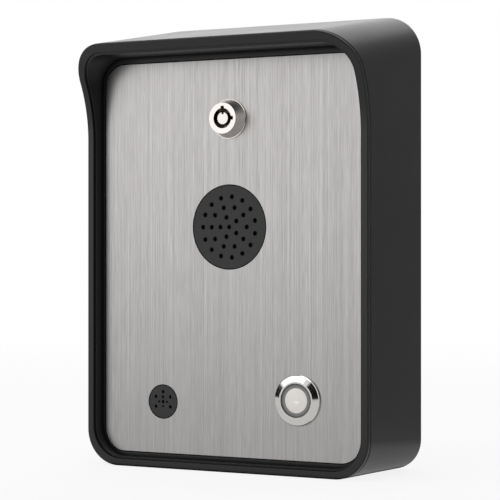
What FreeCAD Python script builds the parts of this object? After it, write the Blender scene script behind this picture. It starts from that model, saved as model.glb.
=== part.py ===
"""Door intercom: hooded casing, tilting steel panel, key lock, speaker, microphone and push button.

Frame: origin at the centre of the back face that lies on the wall, +X to the right as seen
from the front, +Y into the wall, +Z up. All lengths are in millimetres. "Depth" is measured
from the wall towards the front, so a depth is minus Y.
"""
import FreeCAD, Part
import math
import os
import Sketcher

Vector = FreeCAD.Vector

SIZES = {
    # casing
    "casing_width": 142.0,
    "casing_height": 200.0,
    "lower_depth": 52.0,
    "hood_reach": 18.2,
    "hood_start_drop": 54.0,
    "hood_radius": 57.56,
    "rear_low_corner": 13.5,
    "rear_top_corner": 17.0,
    "front_low_corner": 17.0,
    "front_top_corner": 18.0,
    "casing_wall": 2.4,
    "back_wall": 2.5,
    "inner_corner_less": 3.5,
    "casing_edge_round": 0.8,
    # bezel
    "band_depth": 2.4,
    "groove_depth": 1.0,
    "groove_width": 0.5,
    "rim_width": 4.0,
    "hood_lip": 4.6,
    "recess_low_corner": 13.5,
    "recess_top_corner": 12.0,
    "recess_depth": 6.0,
    "sleeve_wall": 1.2,
    "ledge_thick": 1.2,
    "rim_step_width": 0.9,
    "rim_step_depth": 1.2,
    "rim_edge_round": 0.6,
    # panel
    "panel_side_inset": 2.0,
    "panel_bottom_inset": 2.2,
    "panel_top_inset": 2.9,
    "panel_corner": 10.0,
    "panel_thick": 1.5,
    "panel_gap": 0.4,
    # seal frame behind the panel's top and upper sides
    "seal_overlap": 3.0,
    "seal_thick": 1.4,
    "seal_clearance": 0.3,
    "frame_thick": 1.5,
    "seal_end_height": 51.8,
    "seal_side_gap": 0.3,
    # pivots
    "pivot_set_back": 5.4,
    "pivot_height": 20.8,
    "pin_radius": 2.0,
    "pin_fit": 0.06,
    "pin_head_radius": 3.3,
    "pin_head_thick": 2.0,
    "pin_grip": 4.0,
    "bracket_thick": 1.5,
    "bracket_inset": 2.5,
    "bracket_end_radius": 3.6,
    "bracket_foot_rise": 7.0,
    "bracket_foot_length": 18.0,
    "bracket_foot_width": 12.5,
    "bush_radius": 3.2,
    "bush_gap": 0.3,
    "boss_gap": 0.4,
    "boss_height": 14.0,
    "boss_depth": 7.4,
    "boss_round": 2.0,
    # fasteners that join bezel and casing
    "post_inset": 15.0,
    "post_rise": 1.6,
    "post_radius": 4.7,
    "post_bore_radius": 3.4,
    "post_bore_depth": 28.0,
    "long_screw_radius": 1.25,
    "long_screw_head_radius": 2.6,
    "long_screw_head_thick": 2.4,
    "long_screw_engagement": 4.5,
    "long_screw_socket": 2.0,
    "socket_share": 0.6,
    "screw_clearance": 0.2,
    "tab_inset": 20.0,
    "tab_width": 12.0,
    "tab_depth": 6.0,
    "tab_clearance": 0.4,
    "tab_screw_head_radius": 2.9,
    "tab_screw_head_thick": 1.1,
    # wall fixing and cable entry
    "wall_hole_side_inset": 21.0,
    "wall_hole_end_inset": 30.0,
    "wall_hole_radius": 2.5,
    "cable_entry_height": 24.0,
    "cable_entry_radius": 9.0,
    "grommet_bore_radius": 4.5,
    "grommet_flange_radius": 11.5,
    "grommet_flange_thick": 1.5,
    # latch catch
    "catch_width": 28.0,
    "catch_tongue_width": 14.0,
    "catch_thick": 1.5,
    "catch_reach": 5.6,
    "catch_clearance": 0.4,
    "catch_screw_offset": 10.5,
    "catch_screw_radius": 1.2,
    "catch_screw_head_radius": 1.85,
    "catch_screw_head_thick": 1.6,
    "catch_screw_engagement": 4.0,
    "catch_screw_socket": 1.8,
    "upper_boss_depth": 5.2,
    "upper_boss_width": 9.0,
    # lock
    "lock_drop": 26.2,
    "lock_flange_radius": 8.8,
    "lock_flange_thick": 0.5,
    "lock_head_base_radius": 8.35,
    "lock_head_face_radius": 6.8,
    "lock_head_height": 5.9,
    "lock_barrel_radius": 8.0,
    "lock_flat_offset": 7.0,
    "lock_barrel_length": 19.3,
    "keyway_radius": 4.4,
    "keyway_depth": 5.4,
    "key_post_radius": 2.65,
    "key_post_set_back": 0.3,
    "key_notch_width": 1.6,
    "key_notch_reach": 0.95,
    "post_notch_width": 1.0,
    "post_notch_depth": 0.9,
    "plug_fit": 0.05,
    "tumbler_count": 7,
    "tumbler_radius": 0.42,
    "tumbler_circle": 3.58,
    "tumbler_proud": 0.3,
    "tumbler_length": 3.0,
    "cam_thick": 2.0,
    "cam_length": 31.7,
    "cam_width": 12.0,
    "cam_hub_radius": 8.0,
    "cam_corner": 5.7,
    "cam_barrel_gap": 0.6,
    "plug_square": 5.6,
    "plug_thread_radius": 2.5,
    "plug_thread_length": 3.4,
    "square_fit": 0.1,
    "cam_nut_across_flats": 8.0,
    "cam_nut_thick": 2.8,
    "lock_nut_across_flats": 22.0,
    "lock_nut_thick": 3.5,
    "lock_washer_thick": 0.8,
    "lock_washer_radius": 12.0,
    "panel_hole_fit": 0.1,
    # speaker
    "lock_to_speaker": 47.4,
    "speaker_grille_radius": 18.5,
    "grille_fit": 0.2,
    "grille_flange_width": 3.0,
    "grille_flange_thick": 1.0,
    "grille_web_thick": 1.7,
    "grille_hole_radius": 1.07,
    "grille_ring_pitch": 4.45,
    "grille_edge_round": 0.3,
    "mesh_thick": 0.4,
    "speaker_flange_width": 52.0,
    "speaker_flange_corner": 6.0,
    "speaker_flange_thick": 1.2,
    "speaker_gasket_thick": 2.2,
    "speaker_gasket_inset": 1.0,
    "speaker_stud_offset": 22.0,
    "speaker_stud_radius": 1.5,
    "speaker_stud_length": 8.0,
    "speaker_nut_across_flats": 5.5,
    "speaker_nut_thick": 2.4,
    "cone_front_radius": 20.0,
    "cone_throat_radius": 7.0,
    "cone_depth": 6.5,
    "cone_thick": 0.6,
    "basket_rim_radius": 22.5,
    "basket_rear_radius": 15.0,
    "basket_depth": 9.0,
    "basket_wall": 1.0,
    "basket_window_radius": 4.0,
    "basket_windows": 6,
    "magnet_radius": 16.0,
    "magnet_thick": 8.0,
    "magnet_plate_inset": 1.0,
    "magnet_plate_thick": 1.6,
    # microphone
    "microphone_inset": 30.7,
    "microphone_height": 22.9,
    "microphone_grille_radius": 7.5,
    "microphone_flange_width": 2.0,
    "microphone_hole_radius": 0.75,
    "microphone_small_hole_radius": 0.5,
    "microphone_outer_ring": 4.4,
    "microphone_inner_ring": 2.1,
    "boot_radius": 8.5,
    "boot_depth": 7.0,
    "capsule_radius": 4.85,
    "capsule_thick": 5.0,
    "capsule_fit": 0.05,
    "capsule_set_back": 1.0,
    "boot_wire_hole_radius": 2.0,
    # push button
    "button_inset": 30.7,
    "button_rise": 26.0,
    "button_flange_radius": 11.0,
    "button_flange_edge": 0.8,
    "button_slope_out_radius": 10.7,
    "button_slope_out_height": 1.1,
    "button_slope_in_radius": 8.1,
    "button_height": 2.0,
    "button_bore_radius": 7.4,
    "button_barrel_radius": 9.5,
    "button_barrel_length": 19.0,
    "button_web_depth": 10.5,
    "button_web_thick": 1.5,
    "button_rear_bore_radius": 8.0,
    "light_ring_radius": 7.25,
    "light_ring_inner_radius": 5.45,
    "cap_radius": 5.4,
    "cap_set_back": 0.4,
    "cap_dome": 0.15,
    "cap_skirt": 3.1,
    "cap_flange_thick": 1.2,
    "cap_flange_radius": 7.2,
    "stem_radius": 3.0,
    "stem_fit": 0.05,
    "stem_tail": 1.8,
    "clip_radius": 4.8,
    "clip_thick": 0.8,
    "clip_gap": 0.1,
    "clip_groove_radius": 2.4,
    "clip_mouth_width": 3.8,
    "button_travel": 2.0,
    "contact_gap": 0.3,
    "contact_block_tail": 4.0,
    "contact_block_fit": 0.1,
    "blade_width": 2.8,
    "blade_thick": 0.5,
    "blade_length": 5.0,
    "blade_spacing": 6.5,
    "spring_wire_radius": 0.3,
    "spring_radius": 4.6,
    "spring_turns": 4,
    "spring_end_gap": 0.05,
    "button_nut_across_flats": 24.0,
    "button_nut_thick": 3.0,
    "button_gasket_thick": 0.6,
    "button_gasket_radius": 12.0,
    # circuit board
    "board_inset": 13.0,
    "board_above_button": 13.8,
    "board_above_speaker": 31.1,
    "board_corner": 3.0,
    "board_thick": 1.6,
    "board_gap": 22.5,
    "pillar_inset": 6.0,
    "pillar_across_flats": 6.0,
    "board_screw_radius": 1.5,
    "board_screw_reach": 6.0,
    "board_screw_head_radius": 2.8,
    "board_screw_head_thick": 2.0,
    "board_screw_socket": 2.4,
    "module_left": -14.0,
    "module_drop": 34.0,
    "module_size": 24.0,
    "module_thick": 2.6,
    "module_corner": 1.0,
    "holder_inset": 2.0,
    "holder_low": -31.0,
    "holder_length": 24.0,
    "holder_height": 18.0,
    "holder_thick": 2.6,
    "card_length": 25.0,
    "card_height": 15.0,
    "card_thick": 0.8,
    "card_cut": 3.0,
    "card_slot_gap": 0.25,
    "relay_inset": 32.0,
    "relay_low": -22.0,
    "relay_width": 19.0,
    "relay_height": 15.5,
    "relay_back_gap": 2.6,
    "relay_corner": 0.8,
    "capacitor_inset": 24.0,
    "capacitor_level": 12.0,
    "capacitor_pitch": 12.0,
    "capacitor_radius": 5.0,
    "capacitor_back_gap": 4.9,
    "terminal_offset": 18.0,
    "terminal_pitch": 5.08,
    "terminal_ways": 5,
    "terminal_height": 10.0,
    "terminal_thick": 10.0,
    "terminal_screw_radius": 1.6,
    "terminal_screw_thick": 1.0,
    "terminal_well": 2.0,
    "terminal_entry": 3.0,
    "terminal_entry_height": 4.0,
    "antenna_set_in": 8.0,
    "socket_size": 6.4,
    "socket_length": 5.0,
    "socket_thread_radius": 2.9,
    "antenna_radius": 4.0,
    "antenna_length": 28.0,
    "antenna_base_length": 6.0,
    "antenna_base_radius": 4.6,
    "antenna_tip_radius": 3.2,
    "antenna_gap": 1.0,
}

doc = FreeCAD.newDocument("door_intercom")
sheet = doc.addObject("Spreadsheet::Sheet", "Sizes")
PARTS = {}
FAR = 400.0
ON_SURFACE = 0.05


class Size:
    """A number together with the sheet formula that gives it."""

    def __init__(self, value, text):
        self.value = value
        self.text = text

    def _join(self, other, sign, value):
        return Size(value, f"({self.text} {sign} {as_size(other).text})")

    def __add__(self, other):
        return self._join(other, "+", self.value + as_size(other).value)

    def __radd__(self, other):
        return as_size(other) + self

    def __sub__(self, other):
        return self._join(other, "-", self.value - as_size(other).value)

    def __rsub__(self, other):
        return as_size(other) - self

    def __mul__(self, other):
        return self._join(other, "*", self.value * as_size(other).value)

    def __rmul__(self, other):
        return as_size(other) * self

    def __truediv__(self, other):
        return self._join(other, "/", self.value / as_size(other).value)

    def __neg__(self):
        return Size(-self.value, f"(0 - {self.text})")


def as_size(number):
    """Wrap a plain number as a Size."""
    return number if isinstance(number, Size) else Size(float(number), repr(float(number)))


def root(size):
    """Square root of a Size."""
    return Size(math.sqrt(size.value), f"sqrt({size.text})")


class Sheet:
    """The sizes by name, as Sizes that point at the sheet's cells."""

    def __init__(self):
        self.rows = 0

    def put(self, name, value, text):
        self.rows += 1
        sheet.set(f"A{self.rows}", name)
        sheet.set(f"B{self.rows}", text)
        sheet.setAlias(f"B{self.rows}", name)
        setattr(self, name, Size(value, f"Sizes.{name}"))

    def derive(self, name, size):
        """Keep a worked-out size in a cell of its own."""
        self.put(name, size.value, "=" + size.text.replace("Sizes.", ""))


s = Sheet()
for size_name, size_value in SIZES.items():
    s.put(size_name, size_value, str(size_value))

s.derive("half_width", s.casing_width / 2)
s.derive("half_height", s.casing_height / 2)
s.derive("total_depth", s.lower_depth + s.hood_reach)
s.derive("hood_start", s.half_height - s.hood_start_drop)
s.derive("hood_drop", s.hood_radius - s.hood_reach)
s.derive("hood_front_top", s.hood_start + root(s.hood_radius * s.hood_radius - s.hood_drop * s.hood_drop))
s.derive("roof_slope", (s.half_height - s.hood_front_top) / s.total_depth)
s.derive("recess_half_width", s.half_width - s.rim_width)
s.derive("recess_bottom", s.rim_width - s.half_height)
s.derive("recess_top", s.hood_front_top - s.hood_lip)
s.derive("panel_half_width", s.recess_half_width - s.panel_side_inset)
s.derive("panel_bottom", s.recess_bottom + s.panel_bottom_inset)
s.derive("panel_top", s.recess_top - s.panel_top_inset)
s.derive("seal_low_end", s.panel_bottom + s.seal_end_height)
s.derive("panel_front", s.lower_depth - s.recess_depth)
s.derive("panel_rear", s.panel_front - s.panel_thick)
s.derive("ledge_rear", s.panel_front - s.ledge_thick)
s.derive("pivot_depth", s.panel_front - s.pivot_set_back)
s.derive("pivot_level", s.panel_bottom + s.pivot_height)
s.derive("bracket_offset", s.panel_half_width - s.bracket_inset)
s.derive("bracket_foot_low", s.pivot_level + s.bracket_foot_rise)
s.derive("bracket_foot_high", s.bracket_foot_low + s.bracket_foot_length)
s.derive("post_offset", s.panel_half_width - s.post_inset)
s.derive("tab_offset", s.panel_half_width - s.tab_inset)
s.derive("wall_hole_spacing_x", s.casing_width - s.wall_hole_side_inset * 2)
s.derive("wall_hole_spacing_z", s.casing_height - s.wall_hole_end_inset * 2)
s.derive("cable_entry_level", s.cable_entry_height - s.half_height)
s.derive("lock_level", s.panel_top - s.lock_drop)
s.derive("speaker_level", s.lock_level - s.lock_to_speaker)
s.derive("microphone_offset", s.microphone_inset - s.panel_half_width)
s.derive("microphone_level", s.panel_bottom + s.microphone_height)
s.derive("button_offset", s.panel_half_width - s.button_inset)
s.derive("button_level", s.panel_bottom + s.button_rise)
s.derive("board_right", s.panel_half_width - s.board_inset)
s.derive("board_left", -s.board_right)
s.derive("board_low", s.button_level + s.board_above_button)
s.derive("board_high", s.speaker_level + s.board_above_speaker)
s.derive("pillar_offset", s.board_right - s.pillar_inset)
s.derive("pillar_low", s.board_low + s.pillar_inset)
s.derive("pillar_high", s.board_high - s.pillar_inset)
s.derive("holder_left", s.board_left + s.holder_inset)
s.derive("relay_left", s.board_right - s.relay_inset)
s.derive("capacitor_offset", s.board_right - s.capacitor_inset)
s.derive("antenna_offset", s.pillar_offset - s.antenna_set_in)
s.derive("seal_front", s.panel_rear - s.seal_clearance)
s.derive("seal_rear", s.seal_front - s.seal_thick)
s.derive("frame_rear", s.seal_rear - s.frame_thick)
s.derive("frame_inner_half_width", s.panel_half_width - s.seal_overlap)
s.derive("frame_inner_top", s.panel_top - s.seal_overlap)
s.derive("sleeve_half_width", s.recess_half_width + s.sleeve_wall)
s.derive("sleeve_top", s.recess_top + s.sleeve_wall)
s.derive("post_level", s.sleeve_top + s.post_rise)
s.derive("catch_low", s.sleeve_top - s.catch_reach)
s.derive("inner_half_width", s.half_width - s.casing_wall)
s.derive("inner_bottom", s.casing_wall - s.half_height)
s.derive("board_front", s.panel_rear - s.board_gap)
s.derive("board_rear", s.board_front - s.board_thick)
s.derive("module_low", s.board_high - s.module_drop)
s.derive("relay_thick", s.board_rear - s.back_wall - s.relay_back_gap)
s.derive("capacitor_length", s.board_rear - s.back_wall - s.capacitor_back_gap)
s.derive("catch_level", s.sleeve_top + s.catch_screw_head_radius + s.screw_clearance)
s.derive("boss_high", s.catch_level + s.catch_screw_head_radius - s.screw_clearance)
s.derive("swing_forward", s.panel_front - s.pivot_depth)
s.derive("swing_down", s.pivot_level - s.panel_bottom)
s.derive("panel_swing", root(s.swing_forward * s.swing_forward + s.swing_down * s.swing_down))
s.derive("tab_top", s.pivot_level - s.panel_swing - s.tab_clearance)
s.derive("barrel_rear", s.panel_rear - s.lock_barrel_length)
s.derive("cam_front", s.barrel_rear - s.cam_barrel_gap)
s.derive("cam_rear", s.cam_front - s.cam_thick)
s.derive("grille_flange_rear", s.panel_rear - s.grille_flange_thick)
s.derive("grille_web_rear", s.panel_front - s.grille_web_thick)
s.derive("speaker_front", s.panel_rear - s.speaker_gasket_thick)
s.derive("speaker_flange_rear", s.speaker_front - s.speaker_flange_thick)
s.derive("basket_rear", s.speaker_flange_rear - s.basket_depth)
s.derive("button_face", s.panel_front + s.button_height)
s.derive("web_front", s.button_face - s.button_web_depth)
s.derive("web_rear", s.web_front - s.button_web_thick)
s.derive("button_barrel_rear", s.panel_rear - s.button_barrel_length)
s.derive("cap_top", s.button_face - s.cap_set_back)
s.derive("cap_shoulder", s.cap_top - s.cap_skirt)
s.derive("cap_flange_rear", s.cap_shoulder - s.cap_flange_thick)
s.derive("stem_end", s.web_rear - s.stem_tail)
s.derive("contact_front", s.stem_end - s.button_travel - s.contact_gap)
s.derive("contact_rear", s.button_barrel_rear - s.contact_block_tail)


class Arc:
    """An outline corner reached along an arc from the corner before it."""

    def __init__(self, x, y, radius, turns_left):
        self.x = as_size(x)
        self.y = as_size(y)
        self.radius = as_size(radius)
        self.turns_left = turns_left


def add_body(label, x=None, y=None, z=None):
    """Start a body; a given coordinate places it."""
    body = doc.addObject("PartDesign::Body", label + "_body")
    body.AllowCompound = True
    for axis, place in (("x", x), ("y", y), ("z", z)):
        if place is not None:
            body.setExpression(f"Placement.Base.{axis}", as_size(place).text)
    return body


def plane_sketch(body, plane, name, offset=None):
    """A sketch on one of the body's origin planes, moved along the plane's normal."""
    sketch = body.newObject("Sketcher::SketchObject", name)
    role = plane + "_Plane"
    origin_plane = next(f for f in body.Origin.OriginFeatures if f.Role == role)
    sketch.AttachmentSupport = [(origin_plane, "")]
    sketch.MapMode = "FlatFace"
    if offset is not None:
        sketch.setExpression("AttachmentOffset.Base.z", as_size(offset).text)
    return sketch


def bind(sketch, kind, where, size):
    """Add one dimension and tie it to its formula."""
    index = sketch.addConstraint(Sketcher.Constraint(kind, *where, size.value))
    sketch.setExpression(f"Constraints[{index}]", size.text)


def fix_point(sketch, curve, end, x, y):
    """Fix one end or centre of a curve at (x, y)."""
    for kind, axis, size in (("DistanceX", -2, x), ("DistanceY", -1, y)):
        if abs(size.value) < 1e-9:
            sketch.addConstraint(Sketcher.Constraint("PointOnObject", curve, end, axis))
        else:
            bind(sketch, kind, (-1, 1, curve, end), size)


def outline(sketch, corners):
    """A closed outline through the corners, each (x, y) or an Arc."""
    points = []
    for corner in corners:
        is_arc = isinstance(corner, Arc)
        x, y = (corner.x, corner.y) if is_arc else (as_size(corner[0]), as_size(corner[1]))
        points.append((x, y))
    curves = []
    for index, corner in enumerate(corners):
        start = points[index - 1]
        end = points[index]
        a = Vector(start[0].value, start[1].value, 0)
        b = Vector(end[0].value, end[1].value, 0)
        if not isinstance(corner, Arc):
            curve = sketch.addGeometry(Part.LineSegment(a, b), False)
            curves.append((curve, 1, 2))
            continue
        radius = corner.radius.value
        chord = b - a
        side = Vector(-chord.y, chord.x, 0).normalize()
        height = math.sqrt(max(radius * radius - chord.Length**2 / 4, 0.0))
        centre = (a + b) / 2 + side * height * (1 if corner.turns_left else -1)
        first, last = (a, b) if corner.turns_left else (b, a)
        angles = [math.atan2(p.y - centre.y, p.x - centre.x) for p in (first, last)]
        circle = Part.Circle(centre, Vector(0, 0, 1), radius)
        curve = sketch.addGeometry(Part.ArcOfCircle(circle, angles[0], angles[1]), False)
        curves.append((curve, 1, 2) if corner.turns_left else (curve, 2, 1))
        if chord.Length < 1.9999 * radius:
            bind(sketch, "Radius", (curve,), corner.radius)
        elif abs(chord.y) < abs(chord.x):
            bind(sketch, "DistanceY", (-1, 1, curve, 3), end[1])
        else:
            bind(sketch, "DistanceX", (-1, 1, curve, 3), end[0])
    for index, (curve, _, end) in enumerate(curves):
        following, start, _ = curves[(index + 1) % len(curves)]
        sketch.addConstraint(Sketcher.Constraint("Coincident", curve, end, following, start))
        fix_point(sketch, curve, end, *points[index])


def rectangle(sketch, left, right, low, high):
    """A rectangle outline."""
    outline(sketch, [(left, low), (right, low), (right, high), (left, high)])


def rounded(sketch, left, right, low, high, low_radius, high_radius=None):
    """A rectangle with rounded corners."""
    top = low_radius if high_radius is None else high_radius
    outline(sketch, [
        (right - low_radius, low),
        Arc(right, low + low_radius, low_radius, True),
        (right, high - top),
        Arc(right - top, high, top, True),
        (left + top, high),
        Arc(left, high - top, top, True),
        (left, low + low_radius),
        Arc(left + low_radius, low, low_radius, True),
    ])


def circle(sketch, x, y, radius):
    """A full circle."""
    x, y, radius = as_size(x), as_size(y), as_size(radius)
    shape = Part.Circle(Vector(x.value, y.value, 0), Vector(0, 0, 1), radius.value)
    curve = sketch.addGeometry(shape, False)
    bind(sketch, "Radius", (curve,), radius)
    fix_point(sketch, curve, 3, x, y)


def hexagon(sketch, x, y, across_flats):
    """A hexagon with two flats upright."""
    half = as_size(across_flats) / 2
    corner = half * (2 / math.sqrt(3))
    x, y = as_size(x), as_size(y)
    outline(sketch, [
        (x + half, y - corner / 2), (x + half, y + corner / 2), (x, y + corner),
        (x - half, y + corner / 2), (x - half, y - corner / 2), (x, y - corner),
    ])


def feature(body, kind, name, sketch, length):
    """A pad or pocket of a sketch."""
    item = body.newObject("PartDesign::" + kind, name)
    item.Profile = sketch
    item.setExpression("Length", as_size(length).text)
    body.Tip = item
    return item


def pad(body, name, draw, rear, front):
    """Material between two depths; draw puts the outline on the sketch, in X and Z."""
    sketch = plane_sketch(body, "XZ", name + "_outline", rear)
    draw(sketch)
    return feature(body, "Pad", name, sketch, as_size(front) - rear)


def cut(body, name, draw, rear, front):
    """Remove material between two depths."""
    sketch = plane_sketch(body, "XZ", name + "_outline", front)
    draw(sketch)
    return feature(body, "Pocket", name, sketch, as_size(front) - rear)


def side_pad(body, name, draw, left, right):
    """Material between two X positions; the outline is in Y and Z."""
    sketch = plane_sketch(body, "YZ", name + "_outline", left)
    draw(sketch)
    return feature(body, "Pad", name, sketch, as_size(right) - left)


def side_cut(body, name, draw, left, right):
    """Remove material between two X positions."""
    sketch = plane_sketch(body, "YZ", name + "_outline", right)
    draw(sketch)
    return feature(body, "Pocket", name, sketch, as_size(right) - left)


def upright_pad(body, name, draw, low, high):
    """Material between two levels; the outline is in X and Y."""
    sketch = plane_sketch(body, "XY", name + "_outline", low)
    draw(sketch)
    return feature(body, "Pad", name, sketch, as_size(high) - low)


def upright_cut(body, name, draw, low, high):
    """Remove material between two levels."""
    sketch = plane_sketch(body, "XY", name + "_outline", high)
    draw(sketch)
    return feature(body, "Pocket", name, sketch, as_size(high) - low)


def turned(body, name, corners, cutting=False):
    """A shape turned about the body's own Y axis from (radius, depth) corners."""
    sketch = plane_sketch(body, "XY", name + "_outline")
    outline(sketch, [(radius, -as_size(depth)) for radius, depth in corners])
    item = body.newObject("PartDesign::" + ("Groove" if cutting else "Revolution"), name)
    item.Profile = sketch
    item.ReferenceAxis = (sketch, ["V_Axis"])
    item.Angle = 360.0
    body.Tip = item
    return item


def keep(label, shape_object):
    """Name a finished piece; its label is also its file's name."""
    shape_object.Label = label
    PARTS[label] = shape_object


# Casing and bezel share one outer form: a loft from the wall to the hood's front edge.

def outer_outline(sketch, inset, front):
    """The casing's outline at the wall or at the hood's front edge, drawn in by an inset."""
    inset = as_size(inset)
    low = s.front_low_corner if front else s.rear_low_corner
    top = s.front_top_corner if front else s.rear_top_corner
    high = s.hood_front_top if front else s.half_height
    rounded(sketch, inset - s.half_width, s.half_width - inset, inset - s.half_height,
            high - inset, low - inset, top - inset)


def outer_form(body, name, kind, inset=0.0):
    """Loft the outer form, or cut it away, drawn in by an inset."""
    rear = plane_sketch(body, "XZ", name + "_rear")
    outer_outline(rear, inset, False)
    front = plane_sketch(body, "XZ", name + "_front", s.total_depth)
    outer_outline(front, inset, True)
    loft = body.newObject("PartDesign::" + kind, name)
    loft.Profile = rear
    loft.Sections = [front]
    loft.Ruled = True
    body.Tip = loft
    return loft


def hood_curve(sketch, shift, forward):
    """All that lies in front of the hood's curved front, or all behind it, with the curve shifted back."""
    face = as_size(shift) - s.lower_depth
    far = as_size(-FAR if forward else FAR)
    outline(sketch, [
        (face, as_size(-FAR)),
        (face, s.hood_start),
        Arc(face - s.hood_radius, s.hood_start + s.hood_radius, s.hood_radius, True),
        (face - s.hood_radius, as_size(FAR)),
        (far, as_size(FAR)),
        (far, as_size(-FAR)),
    ])


def trim_to_hood(body, name, shift, forward):
    """Cut away what lies in front of, or behind, the hood's curve."""
    return side_cut(body, name, lambda sk: hood_curve(sk, shift, forward),
                    -s.casing_width, s.casing_width)


def outer_form_gap(point):
    """How far inside the outer form a point lies."""
    share = -point.y / s.total_depth.value
    upper = point.z > 0
    rear_corner = s.rear_top_corner if upper else s.rear_low_corner
    front_corner = s.front_top_corner if upper else s.front_low_corner
    radius = rear_corner.value + share * (front_corner.value - rear_corner.value)
    front_end = s.hood_front_top if upper else s.half_height
    end = s.half_height.value + share * (front_end.value - s.half_height.value)
    across = max(abs(point.x) - s.half_width.value + radius, 0.0)
    along = max(abs(point.z) - end + radius, 0.0)
    return abs(radius - math.hypot(across, along))


def hood_gap(point, shift):
    """How far from the hood's curved front, shifted back, a point lies."""
    rise = min(max(point.z - s.hood_start.value, 0.0), s.hood_radius.value)
    curve = s.hood_radius.value - math.sqrt(s.hood_radius.value**2 - rise**2)
    return abs(s.lower_depth.value - shift.value + curve + point.y)


def round_front_edge(base, name, shift, radius):
    """Round the edge between the outer form and the hood's curved front."""
    doc.recompute()
    item = doc.addObject("Part::Fillet", name)
    item.Base = base
    edges = []
    for number, edge in enumerate(base.Shape.Edges, 1):
        points = edge.discretize(5)
        if all(max(outer_form_gap(p), hood_gap(p, shift)) < ON_SURFACE for p in points):
            edges.append((number, radius.value, radius.value))
    item.Edges = edges
    return item


def circles(places, radius):
    """A drawing of equal circles at the given places."""
    def draw(sketch):
        for x, z in places:
            circle(sketch, x, z, radius)
    return draw


def tab_screw_places():
    """Where the lower bezel screws stand, in X and Y."""
    y = s.tab_depth / 2 - s.ledge_rear
    return [(-s.tab_offset, y), (s.tab_offset, y)]


# Root: everything that stays on the wall.

POSTS = [(-s.post_offset, s.post_level), (s.post_offset, s.post_level)]
CATCH_SCREWS = [(-s.catch_screw_offset, s.catch_level), (s.catch_screw_offset, s.catch_level)]
WALL_HOLES = [(i * s.wall_hole_spacing_x / 2, k * s.wall_hole_spacing_z / 2)
              for i in (-1, 1) for k in (-1, 1)]


def boss_outline(sketch):
    """A pivot boss seen from the side, rounded in front."""
    rear = s.boss_depth / 2 - s.pivot_depth
    front = -s.boss_depth / 2 - s.pivot_depth
    rounded(sketch, front, rear, s.pivot_level - s.boss_height / 2,
            s.pivot_level + s.boss_height / 2, s.boss_round)


def pin_reach():
    """How far from the middle a pivot pin ends."""
    return s.panel_half_width + s.boss_gap + s.pin_grip


def make_casing():
    """The hollow rear casing: sloping roof, hooded sides, screw posts and pivot bosses."""
    body = add_body("casing")
    outer_form(body, "outside", "AdditiveLoft")
    rear = plane_sketch(body, "XZ", "hollow_rear", s.back_wall)
    rounded(rear, -s.inner_half_width, s.inner_half_width, s.inner_bottom,
            s.half_height - s.casing_wall - s.roof_slope * s.back_wall,
            s.rear_low_corner - s.inner_corner_less, s.rear_top_corner - s.inner_corner_less)
    front = plane_sketch(body, "XZ", "hollow_front", s.total_depth)
    rounded(front, -s.inner_half_width, s.inner_half_width, s.inner_bottom,
            s.hood_front_top - s.casing_wall, s.front_low_corner - s.inner_corner_less,
            s.front_top_corner - s.inner_corner_less)
    hollow = body.newObject("PartDesign::SubtractiveLoft", "hollow")
    hollow.Profile = rear
    hollow.Sections = [front]
    hollow.Ruled = True
    body.Tip = hollow
    trim_to_hood(body, "hood_front", s.band_depth, True)
    pad(body, "posts", circles(POSTS, s.post_radius), s.back_wall / 2, s.frame_rear)
    cut(body, "post_bores", circles(POSTS, s.post_bore_radius), 0, s.post_bore_depth)
    cut(body, "post_holes", circles(POSTS, s.long_screw_radius + s.screw_clearance), 0, s.frame_rear)
    for side in (-1, 1):
        near = s.panel_half_width + s.boss_gap
        far = s.inner_half_width + s.casing_wall / 2
        word = "left" if side < 0 else "right"
        span = (near, far) if side > 0 else (-far, -near)
        side_pad(body, word + "_boss", boss_outline, *span)
        hole = (near, pin_reach()) if side > 0 else (-pin_reach(), -near)
        side_cut(body, word + "_pin_hole",
                 lambda sk: circle(sk, -s.pivot_depth, s.pivot_level, s.pin_radius + s.pin_fit), *hole)
    cut(body, "wall_holes", circles(WALL_HOLES, s.wall_hole_radius), 0, s.back_wall)
    cut(body, "cable_entry", circles([(0, s.cable_entry_level)], s.cable_entry_radius), 0, s.back_wall)
    tab_screws = tab_screw_places()
    upright_cut(body, "tab_screw_holes", circles(tab_screws, s.long_screw_radius + s.screw_clearance),
                -s.half_height, s.inner_bottom)
    upright_cut(body, "tab_screw_seats", circles(tab_screws, s.tab_screw_head_radius + s.screw_clearance),
                -s.half_height, s.tab_screw_head_thick + s.screw_clearance - s.half_height)
    keep("casing", round_front_edge(body, "casing_rounded", s.band_depth, s.casing_edge_round))


def recess_outline(sketch, grow=0.0):
    """The recess in front of the panel, grown outwards by a wall or a step."""
    grow = as_size(grow)
    rounded(sketch, -s.recess_half_width - grow, s.recess_half_width + grow,
            s.recess_bottom - grow, s.recess_top + grow,
            s.recess_low_corner + grow, s.recess_top_corner + grow)


def panel_outline(sketch, grow=0.0):
    """The panel's outline, grown outwards by a gap."""
    grow = as_size(grow)
    rounded(sketch, -s.panel_half_width - grow, s.panel_half_width + grow,
            s.panel_bottom - grow, s.panel_top + grow, s.panel_corner + grow)


def arch(sketch, half_width, top, radius, low):
    """An upright strip with rounded upper corners, flat below."""
    outline(sketch, [
        (-half_width, low), (half_width, low), (half_width, top - radius),
        Arc(half_width - radius, top, radius, True),
        (radius - half_width, top),
        Arc(-half_width, top - radius, radius, True),
    ])


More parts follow.
